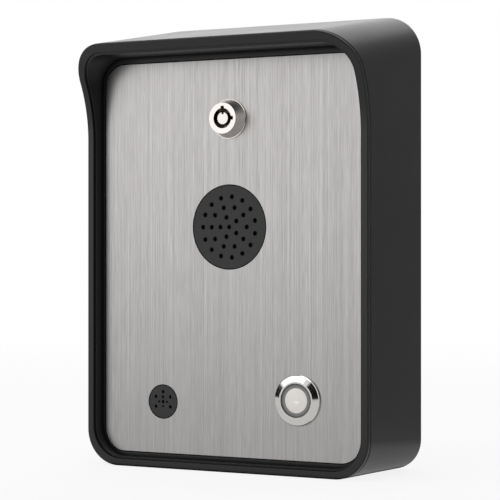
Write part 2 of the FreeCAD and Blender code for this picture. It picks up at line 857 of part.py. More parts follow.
def make_front_bezel():
    """The front bezel: hooded band, recess sleeve, ledge and the frame that carries the seal."""
    body = add_body("front_bezel")
    outer_form(body, "band", "AdditiveLoft")
    trim_to_hood(body, "band_rear", s.band_depth, False)
    pad(body, "sleeve", lambda sk: recess_outline(sk, s.sleeve_wall), s.ledge_rear, s.total_depth)
    trim_to_hood(body, "band_front", 0.0, True)
    cut(body, "recess", recess_outline, s.panel_front, s.total_depth)
    cut(body, "opening", lambda sk: panel_outline(sk, s.panel_gap), s.ledge_rear, s.panel_front)
    radius = s.recess_top_corner + s.sleeve_wall
    pad(body, "seal_frame", lambda sk: arch(sk, s.sleeve_half_width, s.sleeve_top, radius, s.seal_low_end),
        s.frame_rear, s.ledge_rear)
    cut(body, "seal_channel", lambda sk: arch(sk, s.recess_half_width, s.recess_top, s.recess_top_corner,
                                              s.seal_low_end), s.seal_rear, s.ledge_rear)
    cut(body, "frame_window", lambda sk: arch(sk, s.frame_inner_half_width, s.frame_inner_top,
                                              s.panel_corner - s.seal_overlap, s.seal_low_end),
        s.frame_rear, s.seal_rear)
    boss_low = s.sleeve_top - s.sleeve_wall / 2
    boss_front = s.ledge_rear + s.upper_boss_depth
    pad(body, "catch_boss", lambda sk: rectangle(sk, -s.catch_width / 2, s.catch_width / 2,
                                                 boss_low, s.boss_high), s.ledge_rear, boss_front)
    cut(body, "catch_screw_holes", circles(CATCH_SCREWS, s.catch_screw_radius),
        s.ledge_rear, s.ledge_rear + s.catch_screw_engagement + s.screw_clearance)
    for x, _ in POSTS:
        word = "left" if x.value < 0 else "right"
        pad(body, word + "_post_boss",
            lambda sk: rectangle(sk, x - s.upper_boss_width / 2, x + s.upper_boss_width / 2,
                                 boss_low, s.boss_high), s.frame_rear, boss_front)
    cut(body, "post_screw_holes", circles(POSTS, s.long_screw_radius), s.frame_rear,
        s.frame_rear + s.long_screw_engagement + s.screw_clearance)
    for side in (-1, 1):
        word = "left" if side < 0 else "right"
        middle = side * s.tab_offset
        pad(body, word + "_tab", lambda sk: rectangle(sk, middle - s.tab_width / 2,
                                                      middle + s.tab_width / 2,
                                                      s.inner_bottom, s.tab_top),
            s.ledge_rear - s.tab_depth, s.ledge_rear + s.ledge_thick / 2)
    upright_cut(body, "tab_holes", circles(tab_screw_places(), s.long_screw_radius),
                s.inner_bottom, s.tab_top)


    step = add_body("rim_step")
    pad(step, "step_block", lambda sk: recess_outline(sk, s.rim_step_width), s.panel_front,
        s.total_depth + s.rim_step_depth)
    trim_to_hood(step, "step_rear", s.rim_step_depth, False)

    groove = add_body("parting_groove")
    pad(groove, "groove_block", lambda sk: rectangle(sk, -s.casing_width, s.casing_width,
                                                     -s.casing_height, s.casing_height),
        0, s.total_depth)
    outer_form(groove, "groove_floor", "SubtractiveLoft", s.groove_depth)
    trim_to_hood(groove, "groove_front", s.band_depth - s.groove_width, True)

    stepped = doc.addObject("Part::Cut", "bezel_with_step")
    stepped.Base = body
    stepped.Tool = step
    grooved = doc.addObject("Part::Cut", "bezel_with_groove")
    grooved.Base = stepped
    grooved.Tool = groove
    keep("front_bezel", round_front_edge(grooved, "bezel_rounded", as_size(0.0), s.rim_edge_round))


def make_panel_seal():
    """The foam seal round the panel's top and upper sides."""
    body = add_body("panel_seal")
    side_gap = s.seal_side_gap
    pad(body, "strip", lambda sk: arch(sk, s.recess_half_width - side_gap, s.recess_top - side_gap,
                                       s.recess_top_corner - side_gap, s.seal_low_end),
        s.seal_rear, s.seal_front)
    cut(body, "inside", lambda sk: arch(sk, s.frame_inner_half_width + side_gap,
                                        s.frame_inner_top + side_gap,
                                        s.panel_corner - s.seal_overlap, s.seal_low_end),
        s.seal_rear, s.seal_front)
    keep("panel_seal", body)


def screws(body, places, seat, head_radius, head_thick, radius, tip, socket):
    """Screws driven from the wall's side: head behind the seat, shank in front, hexagon socket."""
    head_end = seat - head_thick
    pad(body, "heads", circles(places, head_radius), head_end, seat)
    pad(body, "shanks", circles(places, radius), seat, tip)
    for index, (x, z) in enumerate(places):
        cut(body, f"socket_{index}", lambda sk: hexagon(sk, x, z, socket),
            head_end, head_end + head_thick * s.socket_share)


def make_latch_catch():
    """The bent steel catch that the cam turns up behind."""
    body = add_body("latch_catch")
    low = s.sleeve_top + s.screw_clearance
    flange_rear = s.ledge_rear - s.catch_thick
    tongue = s.catch_tongue_width / 2
    stop = s.cam_front + s.catch_clearance
    pad(body, "flange", lambda sk: rectangle(sk, -s.catch_width / 2, s.catch_width / 2, low, s.boss_high),
        flange_rear, s.ledge_rear)
    pad(body, "web", lambda sk: rectangle(sk, -tongue, tongue, low, low + s.catch_thick),
        stop, s.ledge_rear)
    pad(body, "stop", lambda sk: rectangle(sk, -tongue, tongue, s.catch_low, low + s.catch_thick),
        stop, stop + s.catch_thick)
    cut(body, "holes", circles(CATCH_SCREWS, s.catch_screw_radius + s.screw_clearance / 2),
        flange_rear, s.ledge_rear)
    keep("latch_catch", body)


def make_catch_screws():
    """Two screws that hold the catch to the bezel."""
    body = add_body("catch_screws")
    seat = s.ledge_rear - s.catch_thick
    screws(body, CATCH_SCREWS, seat, s.catch_screw_head_radius, s.catch_screw_head_thick,
           s.catch_screw_radius, s.ledge_rear + s.catch_screw_engagement, s.catch_screw_socket)
    keep("catch_screws", body)


def make_upper_bezel_screws():
    """Two long screws from the casing's back into the bezel."""
    body = add_body("upper_bezel_screws")
    screws(body, POSTS, s.post_bore_depth, s.long_screw_head_radius, s.long_screw_head_thick,
           s.long_screw_radius, s.frame_rear + s.long_screw_engagement, s.long_screw_socket)
    keep("upper_bezel_screws", body)


def make_lower_bezel_screws():
    """Two short screws from below into the bezel's tabs."""
    body = add_body("lower_bezel_screws")
    places = tab_screw_places()
    seat = s.tab_screw_head_thick + s.screw_clearance - s.half_height
    upright_pad(body, "heads", circles(places, s.tab_screw_head_radius),
                seat - s.tab_screw_head_thick, seat)
    upright_pad(body, "shanks", circles(places, s.long_screw_radius), seat, s.tab_top - s.screw_clearance)
    keep("lower_bezel_screws", body)


def turned_on_x(body, name, profiles):
    """Shapes turned about the body's own X axis from (x, radius) corners."""
    sketch = plane_sketch(body, "XY", name + "_outline")
    for corners in profiles:
        outline(sketch, corners)
    item = body.newObject("PartDesign::Revolution", name)
    item.Profile = sketch
    item.ReferenceAxis = (sketch, ["H_Axis"])
    item.Angle = 360.0
    body.Tip = item
    return item


def make_pivot_pins():
    """The two headed pins that the panel tilts on."""
    body = add_body("pivot_pins", y=-s.pivot_depth, z=s.pivot_level)
    head_out = s.bracket_offset - s.bracket_thick - s.boss_gap
    head_in = head_out - s.pin_head_thick
    profiles = []
    for side in (-1, 1):
        profiles.append([(side * head_in, 0), (side * head_in, s.pin_head_radius),
                         (side * head_out, s.pin_head_radius), (side * head_out, s.pin_radius),
                         (side * pin_reach(), s.pin_radius), (side * pin_reach(), 0)])
    turned_on_x(body, "pins", profiles)
    keep("pivot_pins", body)


def make_pivot_bushes():
    """A spacer bush on each pin, between bracket and casing boss."""
    body = add_body("pivot_bushes", y=-s.pivot_depth, z=s.pivot_level)
    near = s.bracket_offset + s.bush_gap
    far = s.panel_half_width + s.boss_gap - s.bush_gap
    inner = s.pin_radius + s.pin_fit
    profiles = [[(side * near, inner), (side * near, s.bush_radius), (side * far, s.bush_radius),
                 (side * far, inner)] for side in (-1, 1)]
    turned_on_x(body, "bushes", profiles)
    keep("pivot_bushes", body)


def make_cable_grommet():
    """The rubber grommet in the back wall's cable entry."""
    body = add_body("cable_grommet", z=s.cable_entry_level)
    sleeve = s.cable_entry_radius - s.screw_clearance / 2
    turned(body, "grommet", [
        (s.grommet_bore_radius, s.screw_clearance), (sleeve, s.screw_clearance), (sleeve, s.back_wall),
        (s.grommet_flange_radius, s.back_wall),
        (s.grommet_flange_radius, s.back_wall + s.grommet_flange_thick),
        (s.grommet_bore_radius, s.back_wall + s.grommet_flange_thick),
    ])
    keep("cable_grommet", body)


# Panel: everything that tilts with the steel faceplate.

SPEAKER_STUDS = [(i * s.speaker_stud_offset, s.speaker_level + k * s.speaker_stud_offset)
                 for i in (-1, 1) for k in (-1, 1)]
PILLARS = [(i * s.pillar_offset, z) for i in (-1, 1) for z in (s.pillar_low, s.pillar_high)]


def double_flat(sketch, x, z, radius, flat):
    """A round hole with two upright flats."""
    reach = root(radius * radius - flat * flat)
    outline(sketch, [
        (x + flat, z + reach),
        Arc(x - flat, z + reach, radius, True),
        (x - flat, z - reach),
        Arc(x + flat, z - reach, radius, True),
    ])


def make_faceplate():
    """The stainless faceplate with its four openings."""
    body = add_body("faceplate")
    pad(body, "plate", panel_outline, s.panel_rear, s.panel_front)
    fit = s.panel_hole_fit

    def openings(sketch):
        circle(sketch, 0, s.speaker_level, s.speaker_grille_radius + s.grille_fit)
        circle(sketch, s.microphone_offset, s.microphone_level, s.microphone_grille_radius + s.grille_fit)
        circle(sketch, s.button_offset, s.button_level, s.button_barrel_radius + fit)
        double_flat(sketch, as_size(0), s.lock_level, s.lock_barrel_radius + fit, s.lock_flat_offset + fit)

    cut(body, "openings", openings, s.panel_rear, s.panel_front)
    keep("faceplate", body)


def make_pivot_brackets():
    """The two angle brackets on the panel's rear that turn on the pins."""
    body = add_body("pivot_brackets")
    front = -s.panel_rear
    end = s.bracket_end_radius

    def ear(sketch):
        outline(sketch, [
            (front, s.bracket_foot_high), (front, s.bracket_foot_low),
            (-s.pivot_depth - end, s.pivot_level),
            Arc(end - s.pivot_depth, s.pivot_level, end, True),
            (end - s.pivot_depth, s.bracket_foot_low + end),
            (front + end, s.bracket_foot_high),
        ])

    for side in (-1, 1):
        word = "left" if side < 0 else "right"
        outer = side * s.bracket_offset
        inner = side * (s.bracket_offset - s.bracket_thick)
        foot = side * (s.bracket_offset - s.bracket_foot_width)
        span = (inner, outer) if side > 0 else (outer, inner)
        edges = (foot, outer) if side > 0 else (outer, foot)
        side_pad(body, word + "_ear", ear, *span)
        pad(body, word + "_foot", lambda sk: rectangle(sk, *edges, s.bracket_foot_low, s.bracket_foot_high),
            s.panel_rear - s.bracket_thick, s.panel_rear)
        side_cut(body, word + "_hole",
                 lambda sk: circle(sk, -s.pivot_depth, s.pivot_level, s.pin_radius + s.pin_fit), *span)
    keep("pivot_brackets", body)


def make_grille(label, x, level, radius, flange, holes):
    """A grille let into the panel from behind: flush disc, rear flange, rows of holes."""
    body = add_body(label, x=x, z=level)
    outer = radius + flange
    hollow = radius - flange / 2
    edge = s.grille_edge_round
    turned(body, "disc", [
        (0, s.grille_web_rear), (hollow, s.grille_web_rear), (hollow, s.grille_flange_rear),
        (outer, s.grille_flange_rear), (outer, s.panel_rear), (radius, s.panel_rear),
        (radius, s.panel_front - edge), (radius - edge, s.panel_front), (0, s.panel_front),
    ])
    cut(body, "holes", holes, s.grille_web_rear, s.panel_front)
    keep(label, body)


def ring_places(circle_radius, count, first_angle):
    """Places on a ring round the grille's middle."""
    places = []
    for index in range(count):
        angle = math.radians(first_angle + 360.0 * index / count)
        places.append((circle_radius * math.cos(angle), circle_radius * math.sin(angle)))
    return places


def speaker_holes(sketch):
    """One hole in the middle and three rings of 5, 10 and 15."""
    circle(sketch, 0, 0, s.grille_hole_radius)
    for ring in (1, 2, 3):
        for x, z in ring_places(ring * s.grille_ring_pitch, 5 * ring, 180.0):
            circle(sketch, x, z, s.grille_hole_radius)


def microphone_holes(sketch):
    """Six larger holes and four in the middle cross."""
    circle(sketch, 0, 0, s.microphone_hole_radius)
    for angle in (30.0, 90.0, 150.0, 210.0, 330.0):
        x, z = ring_places(s.microphone_outer_ring, 1, angle)[0]
        circle(sketch, x, z, s.microphone_hole_radius)
    circle(sketch, 0, s.microphone_inner_ring, s.microphone_hole_radius)
    for angle in (0.0, 180.0, 270.0):
        x, z = ring_places(s.microphone_inner_ring, 1, angle)[0]
        circle(sketch, x, z, s.microphone_small_hole_radius)


def make_ring(label, x, level, inner, outer, rear, front):
    """A flat ring behind the panel."""
    body = add_body(label, x=x, z=level)
    turned(body, "ring", [(inner, rear), (outer, rear), (outer, front), (inner, front)])
    keep(label, body)


def make_nut(label, x, level, across_flats, bore, rear, front):
    """A hexagon nut on a threaded barrel or stud."""
    body = add_body(label)
    pad(body, "hexagon", lambda sk: hexagon(sk, x, level, across_flats), rear, front)
    cut(body, "bore", circles([(x, level)], bore), rear, front)
    keep(label, body)


def make_speaker():
    """Dust mesh, gasket, basket, cone, magnet, studs and nuts."""
    level = s.speaker_level
    mesh = add_body("dust_mesh", z=level)
    hollow = s.speaker_grille_radius - s.grille_flange_width / 2
    turned(mesh, "disc", [(0, s.grille_web_rear - s.mesh_thick),
                          (hollow - s.grille_fit, s.grille_web_rear - s.mesh_thick),
                          (hollow - s.grille_fit, s.grille_web_rear), (0, s.grille_web_rear)])
    keep("dust_mesh", mesh)
    flange = s.speaker_grille_radius + s.grille_flange_width
    gasket_radius = s.speaker_flange_width / 2 - s.speaker_gasket_inset
    make_ring("speaker_gasket", 0, level, flange + s.grille_fit, gasket_radius, s.speaker_front, s.panel_rear)

    studs = add_body("speaker_studs")
    pad(studs, "studs", circles(SPEAKER_STUDS, s.speaker_stud_radius),
        s.panel_rear - s.speaker_stud_length, s.panel_rear)
    keep("speaker_studs", studs)

    nuts = add_body("speaker_nuts")
    nut_rear = s.speaker_flange_rear - s.speaker_nut_thick
    for index, (x, z) in enumerate(SPEAKER_STUDS):
        pad(nuts, f"nut_{index}", lambda sk: hexagon(sk, x, z, s.speaker_nut_across_flats),
            nut_rear, s.speaker_flange_rear)
    cut(nuts, "bores", circles(SPEAKER_STUDS, s.speaker_stud_radius), nut_rear, s.speaker_flange_rear)
    keep("speaker_nuts", nuts)

    basket = add_body("speaker_basket", z=level)
    half = s.speaker_flange_width / 2
    pad(basket, "flange", lambda sk: rounded(sk, -half, half, -half, half, s.speaker_flange_corner),
        s.speaker_flange_rear, s.speaker_front)
    turned(basket, "funnel", [
        (s.magnet_radius / 2, s.basket_rear), (s.basket_rear_radius, s.basket_rear),
        (s.basket_rim_radius, s.speaker_flange_rear), (s.basket_rim_radius, s.speaker_front),
        (s.magnet_radius / 2, s.speaker_front),
    ])
    wall = s.basket_wall
    turned(basket, "mouth", [
        (0, s.basket_rear + wall), (s.basket_rear_radius - wall, s.basket_rear + wall),
        (s.cone_front_radius, s.speaker_flange_rear), (s.cone_front_radius, s.speaker_front),
        (0, s.speaker_front),
    ], cutting=True)
    corner = s.speaker_stud_offset
    stud_holes = [(i * corner, k * corner) for i in (-1, 1) for k in (-1, 1)]
    cut(basket, "stud_holes", circles(stud_holes, s.speaker_stud_radius + s.panel_hole_fit),
        s.speaker_flange_rear, s.speaker_front)
    middle = (s.basket_rear_radius + s.cone_front_radius) / 2
    windows = ring_places(middle, int(s.basket_windows.value), 0.0)
    cut(basket, "windows", circles(windows, s.basket_window_radius),
        s.basket_rear + wall, s.speaker_flange_rear)
    keep("speaker_basket", basket)

    cone = add_body("speaker_cone", z=level)
    thick = s.cone_thick
    rim = s.speaker_front - thick
    throat = rim - s.cone_depth
    coil_end = s.basket_rear + wall / 2
    turned(cone, "cone", [
        (s.cone_front_radius, rim - thick), (s.cone_front_radius, rim),
        (s.cone_throat_radius, throat), (0, throat), (0, throat - thick),
        (s.cone_throat_radius - thick, throat - thick), (s.cone_throat_radius - thick, coil_end),
        (s.cone_throat_radius, coil_end), (s.cone_throat_radius, throat - thick),
    ])
    keep("speaker_cone", cone)

    magnet = add_body("speaker_magnet", z=level)
    plate = s.magnet_radius - s.magnet_plate_inset
    rear = s.basket_rear - s.magnet_thick
    step = s.magnet_plate_thick
    turned(magnet, "magnet", [
        (0, rear), (plate, rear), (plate, rear + step), (s.magnet_radius, rear + step),
        (s.magnet_radius, s.basket_rear - step), (plate, s.basket_rear - step),
        (plate, s.basket_rear), (0, s.basket_rear),
    ])
    keep("speaker_magnet", magnet)


def make_microphone():
    """Rubber boot and capsule behind the small grille."""
    x, level = s.microphone_offset, s.microphone_level
    front = s.grille_flange_rear
    rear = front - s.boot_depth
    bore = s.capsule_radius + s.capsule_fit
    seat = front - s.capsule_set_back - s.capsule_thick
    boot = add_body("microphone_boot", x=x, z=level)
    turned(boot, "boot", [
        (s.boot_wire_hole_radius, rear), (s.boot_radius, rear), (s.boot_radius, front),
        (bore, front), (bore, seat), (s.boot_wire_hole_radius, seat),
    ])
    keep("microphone_boot", boot)
    capsule = add_body("microphone_capsule", x=x, z=level)
    turned(capsule, "can", [(0, seat), (s.capsule_radius, seat),
                            (s.capsule_radius, seat + s.capsule_thick), (0, seat + s.capsule_thick)])
    keep("microphone_capsule", capsule)


def make_button():
    """Fixed bezel with barrel, gasket, nut, contact block and blades; moving cap, ring, clip; spring."""
    x, level = s.button_offset, s.button_level
    bezel = add_body("button_bezel", x=x, z=level)
    bore = s.stem_radius + s.stem_fit
    turned(bezel, "barrel", [
        (s.button_bore_radius, s.button_face), (s.button_bore_radius, s.web_front), (bore, s.web_front),
        (bore, s.web_rear), (s.button_rear_bore_radius, s.web_rear),
        (s.button_rear_bore_radius, s.button_barrel_rear),
        (s.button_barrel_radius, s.button_barrel_rear), (s.button_barrel_radius, s.panel_front),
        (s.button_flange_radius, s.panel_front),
        (s.button_flange_radius, s.panel_front + s.button_flange_edge),
        (s.button_slope_out_radius, s.panel_front + s.button_slope_out_height),
        (s.button_slope_in_radius, s.button_face),
    ])
    keep("button_bezel", bezel)
    gasket_rear = s.panel_rear - s.button_gasket_thick
    make_ring("button_gasket", x, level, s.button_barrel_radius + s.panel_hole_fit,
              s.button_gasket_radius, gasket_rear, s.panel_rear)
    make_nut("button_nut", x, level, s.button_nut_across_flats, s.button_barrel_radius,
             gasket_rear - s.button_nut_thick, gasket_rear)

    block = add_body("button_contact_block", x=x, z=level)
    radius = s.button_rear_bore_radius - s.contact_block_fit
    turned(block, "block", [(0, s.contact_rear), (radius, s.contact_rear), (radius, s.contact_front),
                            (0, s.contact_front)])
    keep("button_contact_block", block)
    blades = add_body("button_terminals", x=x, z=level)

    def blade_outlines(sketch):
        for i in (-1, 1):
            for k in (-1, 1):
                across, up = i * s.blade_spacing / 2, k * s.blade_spacing / 2
                rectangle(sketch, across - s.blade_width / 2, across + s.blade_width / 2,
                          up - s.blade_thick / 2, up + s.blade_thick / 2)

    pad(blades, "blades", blade_outlines, s.contact_rear - s.blade_length, s.contact_rear)
    keep("button_terminals", blades)

    cap = add_body("button_cap", x=x, z=level)
    clip_front = s.web_rear - s.clip_gap
    clip_rear = clip_front - s.clip_thick
    groove = s.clip_groove_radius
    dome = (s.cap_radius * s.cap_radius + s.cap_dome * s.cap_dome) / (s.cap_dome * 2)
    profile = [(0, s.stem_end), (s.stem_radius, s.stem_end), (s.stem_radius, clip_rear),
               (groove, clip_rear), (groove, clip_front), (s.stem_radius, clip_front),
               (s.stem_radius, s.cap_flange_rear), (s.cap_flange_radius, s.cap_flange_rear),
               (s.cap_flange_radius, s.cap_shoulder), (s.cap_radius, s.cap_shoulder),
               (s.cap_radius, s.cap_top)]
    sketch = plane_sketch(cap, "XY", "cap_outline")
    corners = [(radius, -as_size(depth)) for radius, depth in profile]
    outline(sketch, corners + [Arc(0, -s.cap_top - s.cap_dome, dome, False)])
    turn = cap.newObject("PartDesign::Revolution", "cap")
    turn.Profile = sketch
    turn.ReferenceAxis = (sketch, ["V_Axis"])
    turn.Angle = 360.0
    cap.Tip = turn
    keep("button_cap", cap)
    make_ring("light_ring", x, level, s.light_ring_inner_radius, s.light_ring_radius,
              s.cap_shoulder, s.cap_top)
    clip = add_body("button_clip", x=x, z=level)
    turned(clip, "ring", [(groove, clip_rear), (s.clip_radius, clip_rear), (s.clip_radius, clip_front),
                          (groove, clip_front)])
    mouth = s.clip_mouth_width / 2
    cut(clip, "mouth", lambda sk: rectangle(sk, -mouth, mouth, as_size(0), s.clip_radius),
        clip_rear, clip_front)
    keep("button_clip", clip)


def biarc(first, first_way, last, last_way):
    """Two arcs that join two points and leave each along its given direction."""
    gap = last - first
    ways = first_way + last_way
    spread = 2 * (1 - first_way.dot(last_way))
    along = gap.dot(ways)
    reach = (-along + math.sqrt(along * along + spread * gap.dot(gap))) / spread
    near, far = first + first_way * reach, last - last_way * reach
    middle = (near + far) / 2
    arcs = []
    for start, apex, end in ((first, near, middle), (middle, far, last)):
        half = (end - start).Length / 2
        centre = (start + end) / 2
        turn = math.acos(min(1.0, half / (apex - start).Length))
        rise = half / math.sin(turn) * (1 - math.cos(turn))
        arcs.append(Part.Arc(start, centre + (apex - centre).normalize() * rise, end).toShape())
    return arcs


def make_button_spring():
    """The return spring round the stem: one wire wound in an open coil."""
    wire = s.spring_wire_radius.value
    radius = s.spring_radius.value
    low = s.web_front.value + wire + s.spring_end_gap.value
    high = s.cap_flange_rear.value - wire - s.spring_end_gap.value
    turns = int(s.spring_turns.value)
    climb = (high - low) / (turns * 2 * math.pi)

    def point(angle):
        return Vector(radius * math.cos(angle), -low - climb * angle, radius * math.sin(angle))

    def way(angle):
        return Vector(-radius * math.sin(angle), -climb, radius * math.cos(angle)).normalize()

    quarter = math.pi / 2
    edges = []
    for step in range(4 * turns):
        start, end = step * quarter, (step + 1) * quarter
        edges += biarc(point(start), way(start), point(end), way(end))
    path = Part.Wire(edges)
    section = Part.Wire([Part.Circle(point(0), way(0), wire).toShape()])
    shell = path.makePipeShell([section], True, False)
    spring = doc.addObject("Part::Feature", "button_spring_coil")
    spring.Shape = shell
    for axis, place in (("x", s.button_offset), ("z", s.button_level)):
        spring.setExpression(f"Placement.Base.{axis}", place.text)
    least = (high - low) / turns - 2 * wire
    print(f"spring: least gap between turns {least:.2f} mm, length {path.Length:.1f} mm")
    keep("button_spring", spring)


def make_lock():
    """Lock body with its key notches, washer and nut; turning plug, tumblers, cam and cam nut."""
    level = s.lock_level
    face = s.panel_front + s.lock_head_height
    plug_face = face - s.keyway_depth
    body = add_body("lock_body", z=level)
    turned(body, "barrel", [
        (s.keyway_radius, face), (s.keyway_radius, s.barrel_rear),
        (s.lock_barrel_radius, s.barrel_rear), (s.lock_barrel_radius, s.panel_front),
        (s.lock_flange_radius, s.panel_front),
        (s.lock_flange_radius, s.panel_front + s.lock_flange_thick),
        (s.lock_head_base_radius, s.panel_front + s.lock_flange_thick),
        (s.lock_head_face_radius, face),
    ])
    flat, barrel = s.lock_flat_offset, s.lock_barrel_radius + s.panel_hole_fit

    def flats(sketch):
        rectangle(sketch, flat, barrel, -barrel, barrel)
        rectangle(sketch, -barrel, -flat, -barrel, barrel)

    cut(body, "flats", flats, s.barrel_rear, s.panel_front)
    half, reach = s.key_notch_width / 2, s.keyway_radius + s.key_notch_reach
    cut(body, "upper_notch", lambda sk: rectangle(sk, -half, half, as_size(0), reach), plug_face, face)
    cut(body, "right_notch", lambda sk: rectangle(sk, as_size(0), reach, -half, half), plug_face, face)
    keep("lock_body", body)
    washer_rear = s.panel_rear - s.lock_washer_thick
    make_ring("lock_washer", 0, level, s.lock_barrel_radius + s.panel_hole_fit, s.lock_washer_radius,
              washer_rear, s.panel_rear)
    make_nut("lock_nut", 0, level, s.lock_nut_across_flats, s.lock_barrel_radius,
             washer_rear - s.lock_nut_thick, washer_rear)

    plug = add_body("lock_plug", z=level)
    outer = s.keyway_radius - s.plug_fit
    shoulder = s.cam_front + s.cam_barrel_gap / 2
    thread_rear = s.cam_rear - s.plug_thread_length
    turned(plug, "plug", [
        (0, face - s.key_post_set_back), (s.key_post_radius, face - s.key_post_set_back),
        (s.key_post_radius, plug_face), (outer, plug_face), (outer, shoulder),
        (s.plug_thread_radius, shoulder), (s.plug_thread_radius, thread_rear), (0, thread_rear),
    ])
    side = s.plug_square / 2
    pad(plug, "square", lambda sk: rectangle(sk, -side, side, -side, side),
        s.cam_rear + s.square_fit, shoulder)
    notch = s.post_notch_width / 2
    cut(plug, "post_notch", lambda sk: rectangle(sk, -notch, notch, s.key_post_radius - s.post_notch_depth,
                                                 s.key_post_radius + s.plug_fit / 2),
        plug_face + s.tumbler_proud, face)
    tumblers = ring_places(s.tumbler_circle, int(s.tumbler_count.value), 90.0)
    seat = plug_face + s.tumbler_proud - s.tumbler_length
    cut(plug, "tumbler_bores", circles(tumblers, s.tumbler_radius), seat, plug_face)
    keep("lock_plug", plug)
    pins = add_body("lock_tumblers", z=level)
    pad(pins, "tumblers", circles(tumblers, s.tumbler_radius), seat, plug_face + s.tumbler_proud)
    keep("lock_tumblers", pins)

    cam = add_body("lock_cam", z=level)
    pad(cam, "hub", circles([(0, 0)], s.cam_hub_radius), s.cam_rear, s.cam_front)
    tip = s.cam_width / 2
    pad(cam, "arm", lambda sk: rounded(sk, -s.cam_length, tip, -tip, tip, s.cam_corner),
        s.cam_rear, s.cam_front)
    hole = side + s.square_fit
    cut(cam, "square_hole", lambda sk: rectangle(sk, -hole, hole, -hole, hole), s.cam_rear, s.cam_front)
    keep("lock_cam", cam)
    make_nut("cam_nut", 0, level, s.cam_nut_across_flats, s.plug_thread_radius,
             s.cam_rear - s.cam_nut_thick, s.cam_rear)


def make_board():
    """Pillars, circuit board and its screws."""
    pillars = add_body("board_pillars")
    for index, (x, z) in enumerate(PILLARS):
        pad(pillars, f"pillar_{index}", lambda sk: hexagon(sk, x, z, s.pillar_across_flats),
            s.board_front, s.panel_rear)
    cut(pillars, "threads", circles(PILLARS, s.board_screw_radius), s.board_front,
        s.board_front + s.board_screw_reach + s.screw_clearance)
    keep("board_pillars", pillars)
    board = add_body("main_board")
    pad(board, "board", lambda sk: rounded(sk, s.board_left, s.board_right, s.board_low, s.board_high,
                                           s.board_corner), s.board_rear, s.board_front)
    cut(board, "screw_holes", circles(PILLARS, s.board_screw_radius + s.screw_clearance),
        s.board_rear, s.board_front)
    keep("main_board", board)
    bolts = add_body("board_screws")
    screws(bolts, PILLARS, s.board_rear, s.board_screw_head_radius, s.board_screw_head_thick,
           s.board_screw_radius, s.board_front + s.board_screw_reach, s.board_screw_socket)
    keep("board_screws", bolts)


def make_sim():
    """The card holder with its slot, and the card in it."""
    right = s.holder_left + s.holder_length
    high = s.holder_low + s.holder_height
    rear = s.board_rear - s.holder_thick
    gap = s.card_slot_gap
    low_card = s.holder_low + (s.holder_height - s.card_height) / 2
    card_rear = rear + (s.holder_thick - s.card_thick) / 2
    slot_right = right - s.holder_thick / 2
    holder = add_body("sim_holder")
    pad(holder, "frame", lambda sk: rectangle(sk, s.holder_left, right, s.holder_low, high),
        rear, s.board_rear)
    cut(holder, "slot", lambda sk: rectangle(sk, s.holder_left, slot_right, low_card - gap,
                                             low_card + s.card_height + gap),
        card_rear - gap, card_rear + s.card_thick + gap)
    keep("sim_holder", holder)
    card = add_body("sim_card")
    card_right = slot_right - gap
    card_left = card_right - s.card_length
    high_card = low_card + s.card_height
    pad(card, "card", lambda sk: outline(sk, [
        (card_left, low_card), (card_right, low_card), (card_right, high_card - s.card_cut),
        (card_right - s.card_cut, high_card), (card_left, high_card),
    ]), card_rear, card_rear + s.card_thick)
    keep("sim_card", card)


